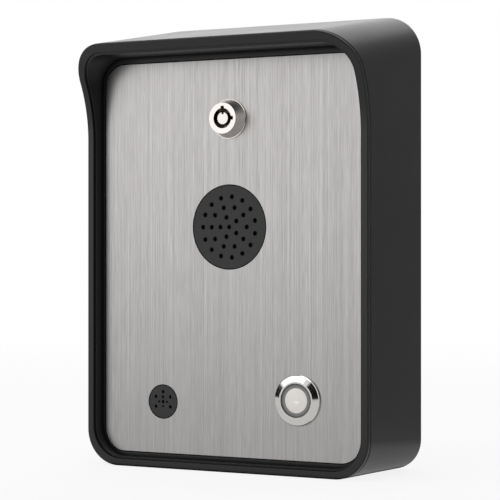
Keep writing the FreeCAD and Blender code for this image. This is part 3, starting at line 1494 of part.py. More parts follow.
def make_components():
    """Radio module, relay, capacitors, terminal blocks, antenna socket and antenna."""
    rear = s.board_rear
    module = add_body("gsm_module")
    right, high = s.module_left + s.module_size, s.module_low + s.module_size
    pad(module, "shield", lambda sk: rounded(sk, s.module_left, right, s.module_low, high,
                                            s.module_corner), rear - s.module_thick, rear)
    keep("gsm_module", module)
    relay = add_body("relay")
    relay_right, relay_high = s.relay_left + s.relay_width, s.relay_low + s.relay_height
    pad(relay, "case", lambda sk: rounded(sk, s.relay_left, relay_right, s.relay_low, relay_high,
                                          s.relay_corner), rear - s.relay_thick, rear)
    keep("relay", relay)
    places = [(s.capacitor_offset + index * s.capacitor_pitch, s.capacitor_level) for index in (0, 1)]
    cans = add_body("capacitors")
    pad(cans, "cans", circles(places, s.capacitor_radius), rear - s.capacitor_length, rear)
    keep("capacitors", cans)

    blocks = add_body("terminal_blocks")
    block_rear = rear - s.terminal_thick
    ways = int(s.terminal_ways.value)
    width = s.terminal_pitch * ways
    screw_places, entries = [], []
    middle_z = s.board_low + s.terminal_height / 2
    for side in (-1, 1):
        middle = side * s.terminal_offset
        word = "left" if side < 0 else "right"
        pad(blocks, word + "_block", lambda sk: rectangle(sk, middle - width / 2, middle + width / 2,
                                                          s.board_low, s.board_low + s.terminal_height),
            block_rear, rear)
        for index in range(ways):
            x = middle + s.terminal_pitch * (index - (ways - 1) / 2)
            screw_places.append((x, middle_z))
            entries.append((x, s.terminal_entry_height - rear))
    head = s.terminal_screw_radius
    floor = block_rear + s.terminal_well
    cut(blocks, "screw_wells", circles(screw_places, head + s.screw_clearance), block_rear, floor)
    upright_cut(blocks, "wire_entries", circles(entries, head), s.board_low, s.board_low + s.terminal_entry)
    keep("terminal_blocks", blocks)
    heads = add_body("terminal_screws")
    pad(heads, "heads", circles(screw_places, head), floor - s.terminal_screw_thick, floor)
    keep("terminal_screws", heads)

    half = s.socket_size / 2
    socket = add_body("antenna_socket", x=s.antenna_offset, y=half - rear)
    upright_pad(socket, "block", lambda sk: rectangle(sk, -half, half, -half, half),
                s.board_high - s.socket_length, s.board_high)
    upright_pad(socket, "thread", circles([(0, 0)], s.socket_thread_radius), s.board_high,
                s.board_high + s.socket_length)
    keep("antenna_socket", socket)

    antenna = add_body("antenna", x=s.antenna_offset, y=half - rear)
    foot = s.board_high + s.antenna_gap
    waist = foot + s.antenna_base_length
    top = waist + s.antenna_length
    bore = s.socket_thread_radius + s.panel_hole_fit / 2
    bore_top = s.board_high + s.socket_length + s.screw_clearance
    sketch = plane_sketch(antenna, "XZ", "antenna_outline")
    outline(sketch, [
        (bore, foot), (s.antenna_base_radius, foot), (s.antenna_base_radius, waist),
        (s.antenna_radius, waist), (s.antenna_tip_radius, top - s.antenna_tip_radius),
        Arc(0, top, s.antenna_tip_radius, True), (0, bore_top), (bore, bore_top),
    ])
    turn = antenna.newObject("PartDesign::Revolution", "antenna")
    turn.Profile = sketch
    turn.ReferenceAxis = (sketch, ["V_Axis"])
    turn.Angle = 360.0
    antenna.Tip = turn
    keep("antenna", antenna)


make_casing()
make_front_bezel()
make_panel_seal()
make_latch_catch()
make_catch_screws()
make_upper_bezel_screws()
make_lower_bezel_screws()
make_pivot_pins()
make_pivot_bushes()
make_cable_grommet()
make_faceplate()
make_pivot_brackets()
make_grille("speaker_grille", 0, s.speaker_level, s.speaker_grille_radius, s.grille_flange_width,
            speaker_holes)
make_grille("microphone_grille", s.microphone_offset, s.microphone_level, s.microphone_grille_radius,
            s.microphone_flange_width, microphone_holes)
make_speaker()
make_microphone()
make_button()
make_button_spring()
make_lock()
make_board()
make_sim()
make_components()

doc.recompute()
broken = [item.Label for item in doc.Objects if "Invalid" in item.State or "Error" in item.State]
for label, item in PARTS.items():
    if item.Shape.isNull() or not item.Shape.isValid() or not item.Shape.Solids:
        broken.append(label)
if broken:
    raise RuntimeError("failed: " + ", ".join(broken))

os.makedirs("parts", exist_ok=True)
for label, item in PARTS.items():
    item.Shape.exportStep(f"parts/{label}.step")
    box = item.Shape.BoundBox
    print(f"{label}: {len(item.Shape.Solids)} solids, {item.Shape.Volume:.0f} mm3, "
          f"X {box.XMin:.1f} {box.XMax:.1f}, Y {box.YMin:.1f} {box.YMax:.1f}, "
          f"Z {box.ZMin:.1f} {box.ZMax:.1f}")
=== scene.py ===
"""Finishes, board detail, studio and camera for the door intercom.

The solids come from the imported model. Every named length is in millimetres until it
goes into a mesh or a material, where Blender's metres take over.
"""

import logging
import math
from dataclasses import dataclass
from enum import Enum
from typing import Any, Callable

import bmesh
import bpy
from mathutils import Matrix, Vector


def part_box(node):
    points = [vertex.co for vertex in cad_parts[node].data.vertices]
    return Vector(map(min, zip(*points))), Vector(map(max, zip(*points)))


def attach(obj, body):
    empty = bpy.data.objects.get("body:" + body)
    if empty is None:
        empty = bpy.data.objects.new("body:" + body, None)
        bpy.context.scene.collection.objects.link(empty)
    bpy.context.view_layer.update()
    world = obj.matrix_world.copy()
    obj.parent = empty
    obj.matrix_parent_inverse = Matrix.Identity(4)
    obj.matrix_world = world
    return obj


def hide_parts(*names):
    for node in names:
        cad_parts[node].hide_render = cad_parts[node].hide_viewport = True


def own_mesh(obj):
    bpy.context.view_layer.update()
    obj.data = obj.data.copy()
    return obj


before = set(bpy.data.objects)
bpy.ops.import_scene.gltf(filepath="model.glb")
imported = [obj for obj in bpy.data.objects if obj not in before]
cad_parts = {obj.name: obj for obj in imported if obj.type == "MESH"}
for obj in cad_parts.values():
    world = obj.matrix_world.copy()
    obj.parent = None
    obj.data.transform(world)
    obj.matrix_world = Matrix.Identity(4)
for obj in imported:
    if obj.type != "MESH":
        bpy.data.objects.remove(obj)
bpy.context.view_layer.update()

MM = 0.001
EDGE_SAMPLES = 6
CREASE_SAMPLES = 8
LEAST_ROUGHNESS = 0.03
LOG = logging.getLogger("door_intercom")


def linear(hex_colour: str) -> tuple[float, float, float, float]:
    """Turn an sRGB hex colour into linear light.

    Args:
        hex_colour: Six hex digits after a hash sign.

    Returns:
        Red, green, blue and an alpha of 1.
    """
    parts = [int(hex_colour[i : i + 2], 16) / 255 for i in (1, 3, 5)]
    red, green, blue = (c / 12.92 if c <= 0.04045 else ((c + 0.055) / 1.055) ** 2.4 for c in parts)
    return red, green, blue, 1.0


def add_node(tree: bpy.types.NodeTree, kind: str, inputs: dict[Any, Any], **settings: Any) -> bpy.types.Node:
    """Add a node, set it up and link it.

    Args:
        tree: The material's node tree.
        kind: The node's type, without the ShaderNode in front.
        inputs: Input name or number with a value or with another node's output.
        settings: The node's own properties.

    Returns:
        The new node.
    """
    node = tree.nodes.new("ShaderNode" + kind)
    for name, value in settings.items():
        setattr(node, name, value)
    for name, value in inputs.items():
        if isinstance(value, bpy.types.NodeSocket):
            tree.links.new(value, node.inputs[name])
        else:
            node.inputs[name].default_value = value
    return node


def distance_from(
    tree: bpy.types.NodeTree, place: bpy.types.NodeSocket, middle_mm: tuple[float, float]
) -> bpy.types.NodeSocket:
    """Measure how far from an axis that runs front to back a point lies.

    Args:
        tree: The material's node tree.
        place: The point.
        middle_mm: Where the axis crosses the front, to the right and upwards.

    Returns:
        The distance, in metres.
    """
    x, z = middle_mm
    settings = {"Vector": place, "Location": (-x * MM, 0.0, -z * MM), "Scale": (1, 0, 1)}
    centred = add_node(tree, "Mapping", settings)
    return add_node(tree, "VectorMath", {0: centred.outputs[0]}, operation="LENGTH").outputs["Value"]


class Way(Enum):
    """The direction that a brushed grain runs in."""

    UP = "up"
    ACROSS = "across"


@dataclass(frozen=True)
class Finish:
    """What every finish has: a base colour, a second tone and a roughness."""

    name: str
    colour: str
    second: str
    roughness: float

    def material(self) -> bpy.types.Material:
        """Make the material once and give it again when asked.

        Returns:
            The material of this finish.
        """
        made = bpy.data.materials.get(self.name)
        if made is not None:
            return made
        made = bpy.data.materials.new(self.name)
        made.use_nodes = True
        made.diffuse_color = linear(self.colour)
        tree = made.node_tree
        shader = next(n for n in tree.nodes if n.type == "BSDF_PRINCIPLED")
        place = add_node(tree, "TexCoord", {}).outputs["Object"]
        self.dress(tree, shader, place)
        return made

    def dress(self, tree: bpy.types.NodeTree, shader: bpy.types.Node, place: bpy.types.NodeSocket) -> None:
        """Build the finish's own nodes; each kind of finish does this its own way."""
        raise NotImplementedError

    def tones(self, tree: bpy.types.NodeTree, shader: bpy.types.Node, factor: bpy.types.NodeSocket) -> None:
        """Blend the two tones by a factor and give the result to the shader.

        Args:
            tree: The material's node tree.
            shader: The shader that takes the colour.
            factor: Where the second tone shows.
        """
        pair = {0: factor, 6: linear(self.colour), 7: linear(self.second)}
        mix = add_node(tree, "Mix", pair, data_type="RGBA")
        tree.links.new(mix.outputs[2], shader.inputs["Base Color"])

    def vary_roughness(
        self,
        tree: bpy.types.NodeTree,
        shader: bpy.types.Node,
        factor: bpy.types.NodeSocket,
        spread: tuple[float, float],
    ) -> None:
        """Let a factor move the roughness about its middle.

        Args:
            tree: The material's node tree.
            shader: The shader that takes the roughness.
            factor: Where the surface is rougher.
            spread: How much smoother and how much rougher it gets.
        """
        smoother, rougher = spread
        lowest = max(LEAST_ROUGHNESS, self.roughness - smoother)
        level = add_node(tree, "MapRange", {"Value": factor, 3: lowest, 4: self.roughness + rougher})
        tree.links.new(level.outputs[0], shader.inputs["Roughness"])

    def relief(
        self,
        tree: bpy.types.NodeTree,
        shader: bpy.types.Node,
        height: bpy.types.NodeSocket,
        depth_mm: float,
        round_mm: float,
    ) -> None:
        """Raise a height as bump over softly rounded edges.

        Args:
            tree: The material's node tree.
            shader: The shader that takes the normal.
            height: The height, from 0 to 1.
            depth_mm: How deep the relief is.
            round_mm: How wide the real edges are broken.
        """
        edge = add_node(tree, "Bevel", {"Radius": round_mm * MM}, samples=EDGE_SAMPLES).outputs["Normal"]
        raised = {"Strength": 1.0, "Distance": depth_mm * MM, "Height": height, "Normal": edge}
        bump = add_node(tree, "Bump", raised)
        tree.links.new(bump.outputs["Normal"], shader.inputs["Normal"])


@dataclass(frozen=True)
class MouldedPlastic(Finish):
    """Injection-moulded plastic: a spark-eroded skin with broken edges.

    The eye gets a dull sheen with a fine grit, drawn coarser than the real one so that it shows.
    Grooves and inner corners are painted near black and less glossy: painted shade, where little light gets
    in.
    """

    grit_mm: float = 0.55
    depth_mm: float = 0.02
    edge_mm: float = 0.25
    patch_mm: float = 28.0
    rough_spread: tuple[float, float] = (0.04, 0.05)
    ior: float = 1.53
    gloss: float = 0.25
    crease_mm: float = 0.0
    crease_light: tuple[float, float] = (0.4, 0.9)
    # The colour of the painted shade in grooves and inner corners.
    crease_shade: str = "#040404"

    def dress(self, tree: bpy.types.NodeTree, shader: bpy.types.Node, place: bpy.types.NodeSocket) -> None:
        """Put fine eroded grit in the relief, and slow patches in tone and gloss.

        Args:
            tree: The material's node tree.
            shader: The shader to dress.
            place: The point on the piece.
        """
        fine, slow = 1 / (self.grit_mm * MM), 1 / (self.patch_mm * MM)
        grit = add_node(tree, "TexNoise", {"Vector": place, "Scale": fine, "Detail": 2.0}).outputs["Fac"]
        patch = add_node(tree, "TexNoise", {"Vector": place, "Scale": slow, "Detail": 3.0}).outputs["Fac"]
        self.tones(tree, shader, patch)
        self.vary_roughness(tree, shader, patch, self.rough_spread)
        shader.inputs["IOR"].default_value = self.ior
        shader.inputs["Specular IOR Level"].default_value = self.gloss
        if self.crease_mm:
            self.shade_creases(tree, shader)
        self.relief(tree, shader, grit, self.depth_mm, self.edge_mm)

    def shade_creases(self, tree: bpy.types.NodeTree, shader: bpy.types.Node) -> None:
        """Paint shade into grooves and inner corners, taking colour and gloss out of them.

        Args:
            tree: The material's node tree.
            shader: The shader whose colour and gloss are already set.
        """
        two_tone = shader.inputs["Base Color"].links[0].from_socket
        reach = {"Distance": self.crease_mm * MM}
        # Painted shade: where ambient occlusion finds a crease, the colour goes towards near black.
        near = add_node(tree, "AmbientOcclusion", reach, samples=CREASE_SAMPLES).outputs["AO"]
        shut, free = self.crease_light
        open_air = add_node(tree, "MapRange", {"Value": near, 1: shut, 2: free}).outputs[0]
        shaded_colour = add_node(tree, "Mix", {0: open_air, 6: linear(self.crease_shade), 7: two_tone}, data_type="RGBA")
        tree.links.new(shaded_colour.outputs[2], shader.inputs["Base Color"])
        # The gloss fades in creases too: painted shade on the reflection.
        gloss = add_node(tree, "Math", {0: open_air, 1: self.gloss}, operation="MULTIPLY")
        tree.links.new(gloss.outputs[0], shader.inputs["Specular IOR Level"])


@dataclass(frozen=True)
class BrushedMetal(Finish):
    """Belt-brushed stainless sheet: fine straight scratches that run one way.

    The belt leaves lines as long as the sheet, with short scratches from single grains between
    them. Both are drawn wider than the real ones, so that the grain shows.
    """

    way: Way = Way.UP
    line_mm: float = 0.16
    run_mm: float = 220.0
    scratch_mm: float = 9.0
    share: float = 0.45
    contrast: tuple[float, float] = (0.28, 0.72)
    rough_spread: tuple[float, float] = (0.05, 0.07)
    depth_mm: float = 0.003
    edge_mm: float = 0.2

    def drawn(
        self, tree: bpy.types.NodeTree, place: bpy.types.NodeSocket, run_mm: float
    ) -> bpy.types.NodeSocket:
        """Draw noise out along the grain.

        Args:
            tree: The material's node tree.
            place: The point on the piece.
            run_mm: How long one mark is.

        Returns:
            The marks, from 0 to 1.
        """
        fine, long = 1 / (self.line_mm * MM), 1 / (run_mm * MM)
        stretch = {Way.UP: (fine, fine, long), Way.ACROSS: (long, fine, fine)}[self.way]
        along = add_node(tree, "Mapping", {"Vector": place, "Scale": stretch})
        noise = add_node(tree, "TexNoise", {"Vector": along.outputs[0], "Scale": 1.0, "Detail": 2.0})
        return noise.outputs["Fac"]

    def dress(self, tree: bpy.types.NodeTree, shader: bpy.types.Node, place: bpy.types.NodeSocket) -> None:
        """Put lines and scratches in tone, gloss and relief.

        Args:
            tree: The material's node tree.
            shader: The shader to dress.
            place: The point on the piece.
        """
        lines = self.drawn(tree, place, self.run_mm)
        scratches = self.drawn(tree, place, self.scratch_mm)
        both = add_node(tree, "Mix", {0: self.share, 2: lines, 3: scratches}, data_type="FLOAT").outputs[0]
        low, high = self.contrast
        marks = add_node(tree, "MapRange", {"Value": both, 1: low, 2: high}).outputs[0]
        self.tones(tree, shader, marks)
        self.vary_roughness(tree, shader, marks, self.rough_spread)
        shader.inputs["Metallic"].default_value = 1.0
        self.relief(tree, shader, both, self.depth_mm, self.edge_mm)


@dataclass(frozen=True)
class TurnedMetal(Finish):
    """Lathe-turned metal, nickel-plated or polished: rings round the piece's own middle.

    The rings catch the light as thin circles, drawn wider than the real ones. The flat face takes
    the darker second tone: painted shade. Behind the face the keyway, and more weakly the foot, are
    painted a dark brownish colour: painted shade, with a greasy tint in the keyway.
    """

    middle_mm: tuple[float, float] = (0.0, 0.0)
    ring_mm: float = 0.3
    rough_spread: tuple[float, float] = (0.05, 0.05)
    depth_mm: float = 0.002
    edge_mm: float = 0.15
    face_mm: float = 0.0
    # How far behind the face its painted shade, the darker second tone, fades out.
    face_shade_mm: tuple[float, float] = (0.1, 0.3)
    keyway_mm: float = 0.0
    # Depth over which the keyway's painted shade sets in, and the share of it at the foot.
    shade_ramp_mm: float = 0.8
    foot_mm: float = 99.0
    foot_shade: float = 0.6
    # The colour of the painted shade in the keyway and at the foot, with a greasy brown tint.
    grease_and_shade: str = "#6e6054"

    def shade_and_grease_mask(
        self, tree: bpy.types.NodeTree, place: bpy.types.NodeSocket, away: bpy.types.NodeSocket
    ) -> bpy.types.NodeSocket:
        """Say where the painted shade lies: in the keyway, and weaker round the foot.

        Args:
            tree: The material's node tree.
            place: The point on the piece.
            away: Its distance from the middle.

        Returns:
            1 inside the keyway, behind the face, part of it at the foot, and 0 elsewhere.
        """
        depth = add_node(tree, "SeparateXYZ", {0: place}).outputs["Y"]
        face, full = self.face_mm * MM, (self.face_mm + self.shade_ramp_mm) * MM
        behind = add_node(tree, "MapRange", {"Value": depth, 1: face, 2: full}).outputs[0]
        keyway, foot = self.keyway_mm * MM, self.foot_mm * MM
        inside = add_node(tree, "Math", {0: away, 1: keyway}, operation="LESS_THAN").outputs[0]
        thick = add_node(tree, "Math", {0: behind, 1: inside}, operation="MULTIPLY").outputs[0]
        outside = add_node(tree, "Math", {0: away, 1: foot}, operation="GREATER_THAN").outputs[0]
        thin = add_node(tree, "Math", {0: outside, 1: self.foot_shade}, operation="MULTIPLY").outputs[0]
        return add_node(tree, "Math", {0: thick, 1: thin}, operation="MAXIMUM").outputs[0]

    def dress(self, tree: bpy.types.NodeTree, shader: bpy.types.Node, place: bpy.types.NodeSocket) -> None:
        """Put turning rings in gloss and relief, painted shade on the face, and painted shade in the keyway
        and round the foot.

        Args:
            tree: The material's node tree.
            shader: The shader to dress.
            place: The point on the piece.
        """
        away = distance_from(tree, place, self.middle_mm)
        narrow = {"W": away, "Scale": 1 / (self.ring_mm * MM)}
        rings = add_node(tree, "TexNoise", narrow, noise_dimensions="1D").outputs["Fac"]
        depth = add_node(tree, "SeparateXYZ", {0: place}).outputs["Y"]
        # Painted shade: the flat face takes the darker second tone.
        near, far = ((self.face_mm + behind) * MM for behind in self.face_shade_mm)
        darker_face = add_node(tree, "MapRange", {"Value": depth, 1: near, 2: far, 3: 1.0, 4: 0.0})
        self.tones(tree, shader, darker_face.outputs[0])
        # Painted shade in the keyway and round the foot.
        if self.keyway_mm:
            two_tone = shader.inputs["Base Color"].links[0].from_socket
            pair = {0: self.shade_and_grease_mask(tree, place, away), 6: two_tone, 7: linear(self.grease_and_shade)}
            shaded_colour = add_node(tree, "Mix", pair, data_type="RGBA")
            tree.links.new(shaded_colour.outputs[2], shader.inputs["Base Color"])
        shader.inputs["Metallic"].default_value = 1.0
        self.vary_roughness(tree, shader, rings, self.rough_spread)
        self.relief(tree, shader, rings, self.depth_mm, self.edge_mm)


@dataclass(frozen=True)
class PlatedSteel(Finish):
    """Plated, blackened or drawn steel and brass: slightly cloudy, with pits drawn large enough to show."""

    cloud_mm: float = 2.5
    pit_mm: float = 0.3
    rough_spread: tuple[float, float] = (0.08, 0.08)
    depth_mm: float = 0.01
    edge_mm: float = 0.12

    def dress(self, tree: bpy.types.NodeTree, shader: bpy.types.Node, place: bpy.types.NodeSocket) -> None:
        """Put clouds in tone and gloss, and pits in the relief.

        Args:
            tree: The material's node tree.
            shader: The shader to dress.
            place: The point on the piece.
        """
        slow, fine = 1 / (self.cloud_mm * MM), 1 / (self.pit_mm * MM)
        cloud = add_node(tree, "TexNoise", {"Vector": place, "Scale": slow, "Detail": 5.0}).outputs["Fac"]
        pits = add_node(tree, "TexNoise", {"Vector": place, "Scale": fine, "Detail": 2.0}).outputs["Fac"]
        self.tones(tree, shader, cloud)
        shader.inputs["Metallic"].default_value = 1.0
        self.vary_roughness(tree, shader, cloud, self.rough_spread)
        self.relief(tree, shader, pits, self.depth_mm, self.edge_mm)


@dataclass(frozen=True)
class CellFoam(Finish):
    """Closed-cell foam, moulded rubber or felt: small round cells in a matt skin."""

    cell_mm: float = 0.5
    cell_wall: float = 0.7
    ior: float = 1.5
    gloss: float = 0.3
    depth_mm: float = 0.08
    edge_mm: float = 0.15

    def dress(self, tree: bpy.types.NodeTree, shader: bpy.types.Node, place: bpy.types.NodeSocket) -> None:
        """Put cells in tone and relief.

        Args:
            tree: The material's node tree.
            shader: The shader to dress.
            place: The point on the piece.
        """
        cells = add_node(tree, "TexVoronoi", {"Vector": place, "Scale": 1 / (self.cell_mm * MM)})
        reach = {"Value": cells.outputs["Distance"], 1: 0.0, 2: self.cell_wall}
        walls = add_node(tree, "MapRange", reach).outputs[0]
        self.tones(tree, shader, walls)
        shader.inputs["Roughness"].default_value = self.roughness
        shader.inputs["IOR"].default_value = self.ior
        shader.inputs["Specular IOR Level"].default_value = self.gloss
        self.relief(tree, shader, walls, self.depth_mm, self.edge_mm)


@dataclass(frozen=True)
class WovenMesh(Finish):
    """Plain-woven polyester speaker cloth: threads over and under each other."""

    thread_mm: float = 0.35
    depth_mm: float = 0.1
    edge_mm: float = 0.1

    def dress(self, tree: bpy.types.NodeTree, shader: bpy.types.Node, place: bpy.types.NodeSocket) -> None:
        """Let two crossed thread waves make the tone and the relief.

        Args:
            tree: The material's node tree.
            shader: The shader to dress.
            place: The point on the piece.
        """
        scale = 1 / (self.thread_mm * MM * math.tau)
        warp = add_node(tree, "TexWave", {"Vector": place, "Scale": scale}, bands_direction="X")
        weft = add_node(tree, "TexWave", {"Vector": place, "Scale": scale}, bands_direction="Z")
        crossed = {0: warp.outputs["Fac"], 1: weft.outputs["Fac"]}
        cloth = add_node(tree, "Math", crossed, operation="MULTIPLY").outputs[0]
        self.tones(tree, shader, cloth)
        shader.inputs["Roughness"].default_value = self.roughness
        self.relief(tree, shader, cloth, self.depth_mm, self.edge_mm)


@dataclass(frozen=True)
class SpeckledSolid(Finish):
    """Pressed fibre, sintered ferrite and the like: specks of a second tone in a dull body."""

    speck_mm: float = 0.6
    contrast: tuple[float, float] = (0.4, 0.65)
    depth_mm: float = 0.03
    edge_mm: float = 0.15

    def dress(self, tree: bpy.types.NodeTree, shader: bpy.types.Node, place: bpy.types.NodeSocket) -> None:
        """Put specks in tone, and the same specks in the relief.

        Args:
            tree: The material's node tree.
            shader: The shader to dress.
            place: The point on the piece.
        """
        grain = {"Vector": place, "Scale": 1 / (self.speck_mm * MM), "Detail": 6.0, "Roughness": 0.7}
        specks = add_node(tree, "TexNoise", grain).outputs["Fac"]
        low, high = self.contrast
        marks = add_node(tree, "MapRange", {"Value": specks, 1: low, 2: high})
        self.tones(tree, shader, marks.outputs[0])
        shader.inputs["Roughness"].default_value = self.roughness
        self.relief(tree, shader, specks, self.depth_mm, self.edge_mm)


@dataclass(frozen=True)
class SolderMask(Finish):
    """Glass-fibre board under green solder mask, with tinned tracks just showing through."""

    track_mm: float = 2.6
    track_edge: tuple[float, float] = (0.12, 0.05)
    irregular: float = 0.55
    ior: float = 1.5
    coat: float = 0.4
    coat_roughness: float = 0.15
    depth_mm: float = 0.02
    edge_mm: float = 0.1

    def dress(self, tree: bpy.types.NodeTree, shader: bpy.types.Node, place: bpy.types.NodeSocket) -> None:
        """Lay a net of tracks that lightens the mask and stands a hair proud of it.

        Args:
            tree: The material's node tree.
            shader: The shader to dress.
            place: The point on the piece.
        """
        mesh = {"Vector": place, "Scale": 1 / (self.track_mm * MM), "Randomness": self.irregular}
        net = add_node(tree, "TexVoronoi", mesh, feature="DISTANCE_TO_EDGE")
        bare, full = self.track_edge
        tracks = add_node(tree, "MapRange", {"Value": net.outputs["Distance"], 1: bare, 2: full}).outputs[0]
        self.tones(tree, shader, tracks)
        shader.inputs["Roughness"].default_value = self.roughness
        shader.inputs["IOR"].default_value = self.ior
        shader.inputs["Coat Weight"].default_value = self.coat
        shader.inputs["Coat Roughness"].default_value = self.coat_roughness
        self.relief(tree, shader, tracks, self.depth_mm, self.edge_mm)


@dataclass(frozen=True)
class FrostedLens(Finish):
    """Frosted polycarbonate over unlit lamps: grey, with a little light inside it.

    Towards its outer edge, next to the rim, it is painted darker: painted shade.
    """

    middle_mm: tuple[float, float] = (0.0, 0.0)
    # Where the painted shade at the outer edge begins and where it is full.
    shade_from_mm: float = 6.2
    shade_to_mm: float = 6.9
    frost_mm: float = 1.2
    ior: float = 1.58
    inner_light: float = 0.25
    inner_reach_mm: float = 1.5
    depth_mm: float = 0.01
    edge_mm: float = 0.1

    def dress(self, tree: bpy.types.NodeTree, shader: bpy.types.Node, place: bpy.types.NodeSocket) -> None:
        """Put soft frost in the relief, paint shade on the outer edge and scatter light below the skin.

        Args:
            tree: The material's node tree.
            shader: The shader to dress.
            place: The point on the piece.
        """
        soft = {"Vector": place, "Scale": 1 / (self.frost_mm * MM), "Detail": 3.0}
        frost = add_node(tree, "TexNoise", soft)
        away = distance_from(tree, place, self.middle_mm)
        # Painted shade: the darker second tone towards the outer edge.
        edge = add_node(tree, "MapRange", {"Value": away, 1: self.shade_from_mm * MM, 2: self.shade_to_mm * MM})
        self.tones(tree, shader, edge.outputs[0])
        shader.inputs["Roughness"].default_value = self.roughness
        shader.inputs["IOR"].default_value = self.ior
        shader.inputs["Subsurface Weight"].default_value = self.inner_light
        shader.inputs["Subsurface Scale"].default_value = self.inner_reach_mm * MM
        self.relief(tree, shader, frost.outputs["Fac"], self.depth_mm, self.edge_mm)


# The axes of lock and button on the front, to the right and upwards, in millimetres.
LOCK_MIDDLE = (0.0, 54.3)
BUTTON_MIDDLE = (34.3, -67.8)


class Finishes:
    """The finishes of this intercom, by what each surface really is."""

    # Casing, bezel and grilles get painted shade in their creases, as far as crease_mm reaches.
    CASING = MouldedPlastic(
        "charcoal_abs", "#222223", "#272729", 0.38, depth_mm=0.07, gloss=0.3, crease_mm=2.2
    )
    BEZEL = MouldedPlastic("charcoal_abs_bezel", "#282829", "#2d2d2e", 0.32, gloss=0.22, crease_mm=2.2)
    GRILLE = MouldedPlastic(
        "black_nylon", "#313132", "#373738", 0.5, grit_mm=0.35, edge_mm=0.2, crease_mm=1.2
    )
    DARK_PLASTIC = MouldedPlastic("black_polyamide", "#1b1b1c", "#232324", 0.45, grit_mm=0.4)
    NATURAL_NYLON = MouldedPlastic("natural_nylon", "#dcd8cc", "#e4e1d6", 0.4, grit_mm=0.4)
    RELAY_BLUE = MouldedPlastic("relay_case_pbt", "#1f3f8a", "#264a99", 0.35, grit_mm=0.5)
    TERMINAL_GREEN = MouldedPlastic("terminal_polyamide", "#1f7a3a", "#268845", 0.4, grit_mm=0.4)
    CARD = MouldedPlastic("card_pvc", "#e9e9e4", "#f1f1ee", 0.35, grit_mm=0.8, depth_mm=0.005)
    SLEEVE = MouldedPlastic("capacitor_sleeve_pvc", "#1d2026", "#262a32", 0.3, grit_mm=0.8, depth_mm=0.005)
    PLATE = BrushedMetal("brushed_stainless_sheet", "#afadac", "#898786", 0.33)
    SHEET = BrushedMetal("plain_stainless_sheet", "#b4b3b0", "#93928f", 0.34, way=Way.ACROSS)
    # The lock's and the plug's flat faces take the darker tone as painted shade; their keyways, and the
    # lock's foot, take painted shade too.
    LOCK = TurnedMetal(
        "bright_nickel_lock", "#efecea", "#bdb9b6", 0.09,
        middle_mm=LOCK_MIDDLE, keyway_mm=5.6, face_mm=-51.8, foot_mm=8.3,
    )
    LOCK_FACE = TurnedMetal(
        "satin_nickel_plug", "#d0ccc8", "#c6c2bf", 0.3,
        middle_mm=LOCK_MIDDLE, keyway_mm=5.6, face_mm=-51.5,
    )
    BUTTON_RIM = TurnedMetal("polished_stainless_rim", "#dddcda", "#cfcecb", 0.1, middle_mm=BUTTON_MIDDLE)
    BUTTON_CAP = PlatedSteel("satin_stainless_cap", "#dcd8d4", "#d5d1cd", 0.5, cloud_mm=1.2, depth_mm=0.004)
    ZINC = PlatedSteel("zinc_plated_steel", "#c8cacc", "#a9abad", 0.36)
    BLACK_STEEL = PlatedSteel("black_oxide_steel", "#26262a", "#34343a", 0.42)
    SPRING = PlatedSteel("spring_steel_wire", "#a5a6a8", "#8d8e90", 0.28)
    TIN = PlatedSteel("tinned_steel_can", "#d3d4d4", "#bfc0c0", 0.32)
    TINNED_BRASS = PlatedSteel("tinned_brass", "#cfc8ad", "#bdb48f", 0.33)
    GOLD_BRASS = PlatedSteel("gold_flashed_brass", "#d9b25a", "#c59a41", 0.24)
    FOAM = CellFoam("black_pvc_foam", "#1c1c1d", "#0e0e0f", 0.9)
    RUBBER = CellFoam("black_nitrile_rubber", "#222223", "#1a1a1b", 0.6, cell_mm=0.9, depth_mm=0.01)
    CLOTH = WovenMesh("woven_speaker_cloth", "#0a0a0b", "#1d1d1f", 0.85)
    PAPER = SpeckledSolid("pressed_paper_cone", "#22201e", "#34302c", 0.9, speck_mm=1.2, depth_mm=0.05)
    FERRITE = SpeckledSolid("sintered_ferrite", "#3a3b3d", "#2e2f31", 0.65)
    BOARD = SolderMask("green_solder_mask", "#0d4f2b", "#2f8a50", 0.35)
    FELT = CellFoam("black_felt", "#0b0b0c", "#141415", 0.95, cell_mm=2.0)
    GREY_FELT = CellFoam("grey_felt", "#c0c0c0", "#c8c8c8", 0.95, cell_mm=2.0)
    CHIP = SpeckledSolid("epoxy_chip_case", "#1a1a1c", "#26262a", 0.55, speck_mm=0.2, depth_mm=0.005)
    CERAMIC = SpeckledSolid("ceramic_chip_part", "#a08a68", "#b9a382", 0.5, speck_mm=0.3, depth_mm=0.005)
    # The lens's second tone is the painted shade at its outer edge.
    LENS = FrostedLens("frosted_polycarbonate", "#878685", "#565657", 0.4, middle_mm=BUTTON_MIDDLE)


def dress_nodes(finish: Finish, names: tuple[str, ...]) -> None:
    """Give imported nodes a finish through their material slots.

    Args:
        finish: What the nodes are made of.
        names: The nodes.
    """
    material = finish.material()
    for name in names:
        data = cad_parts[name].data
        if not data.materials:
            data.materials.append(material)
        for index in range(len(data.materials)):
            data.materials[index] = material
        LOG.info("%s: %s", name, finish.name)


def select_only(piece: bpy.types.Object) -> None:
    """Select one object alone and make it active.

    Args:
        piece: The object.
    """
    bpy.ops.object.select_all(action="DESELECT")
    piece.select_set(True)
    bpy.context.view_layer.objects.active = piece


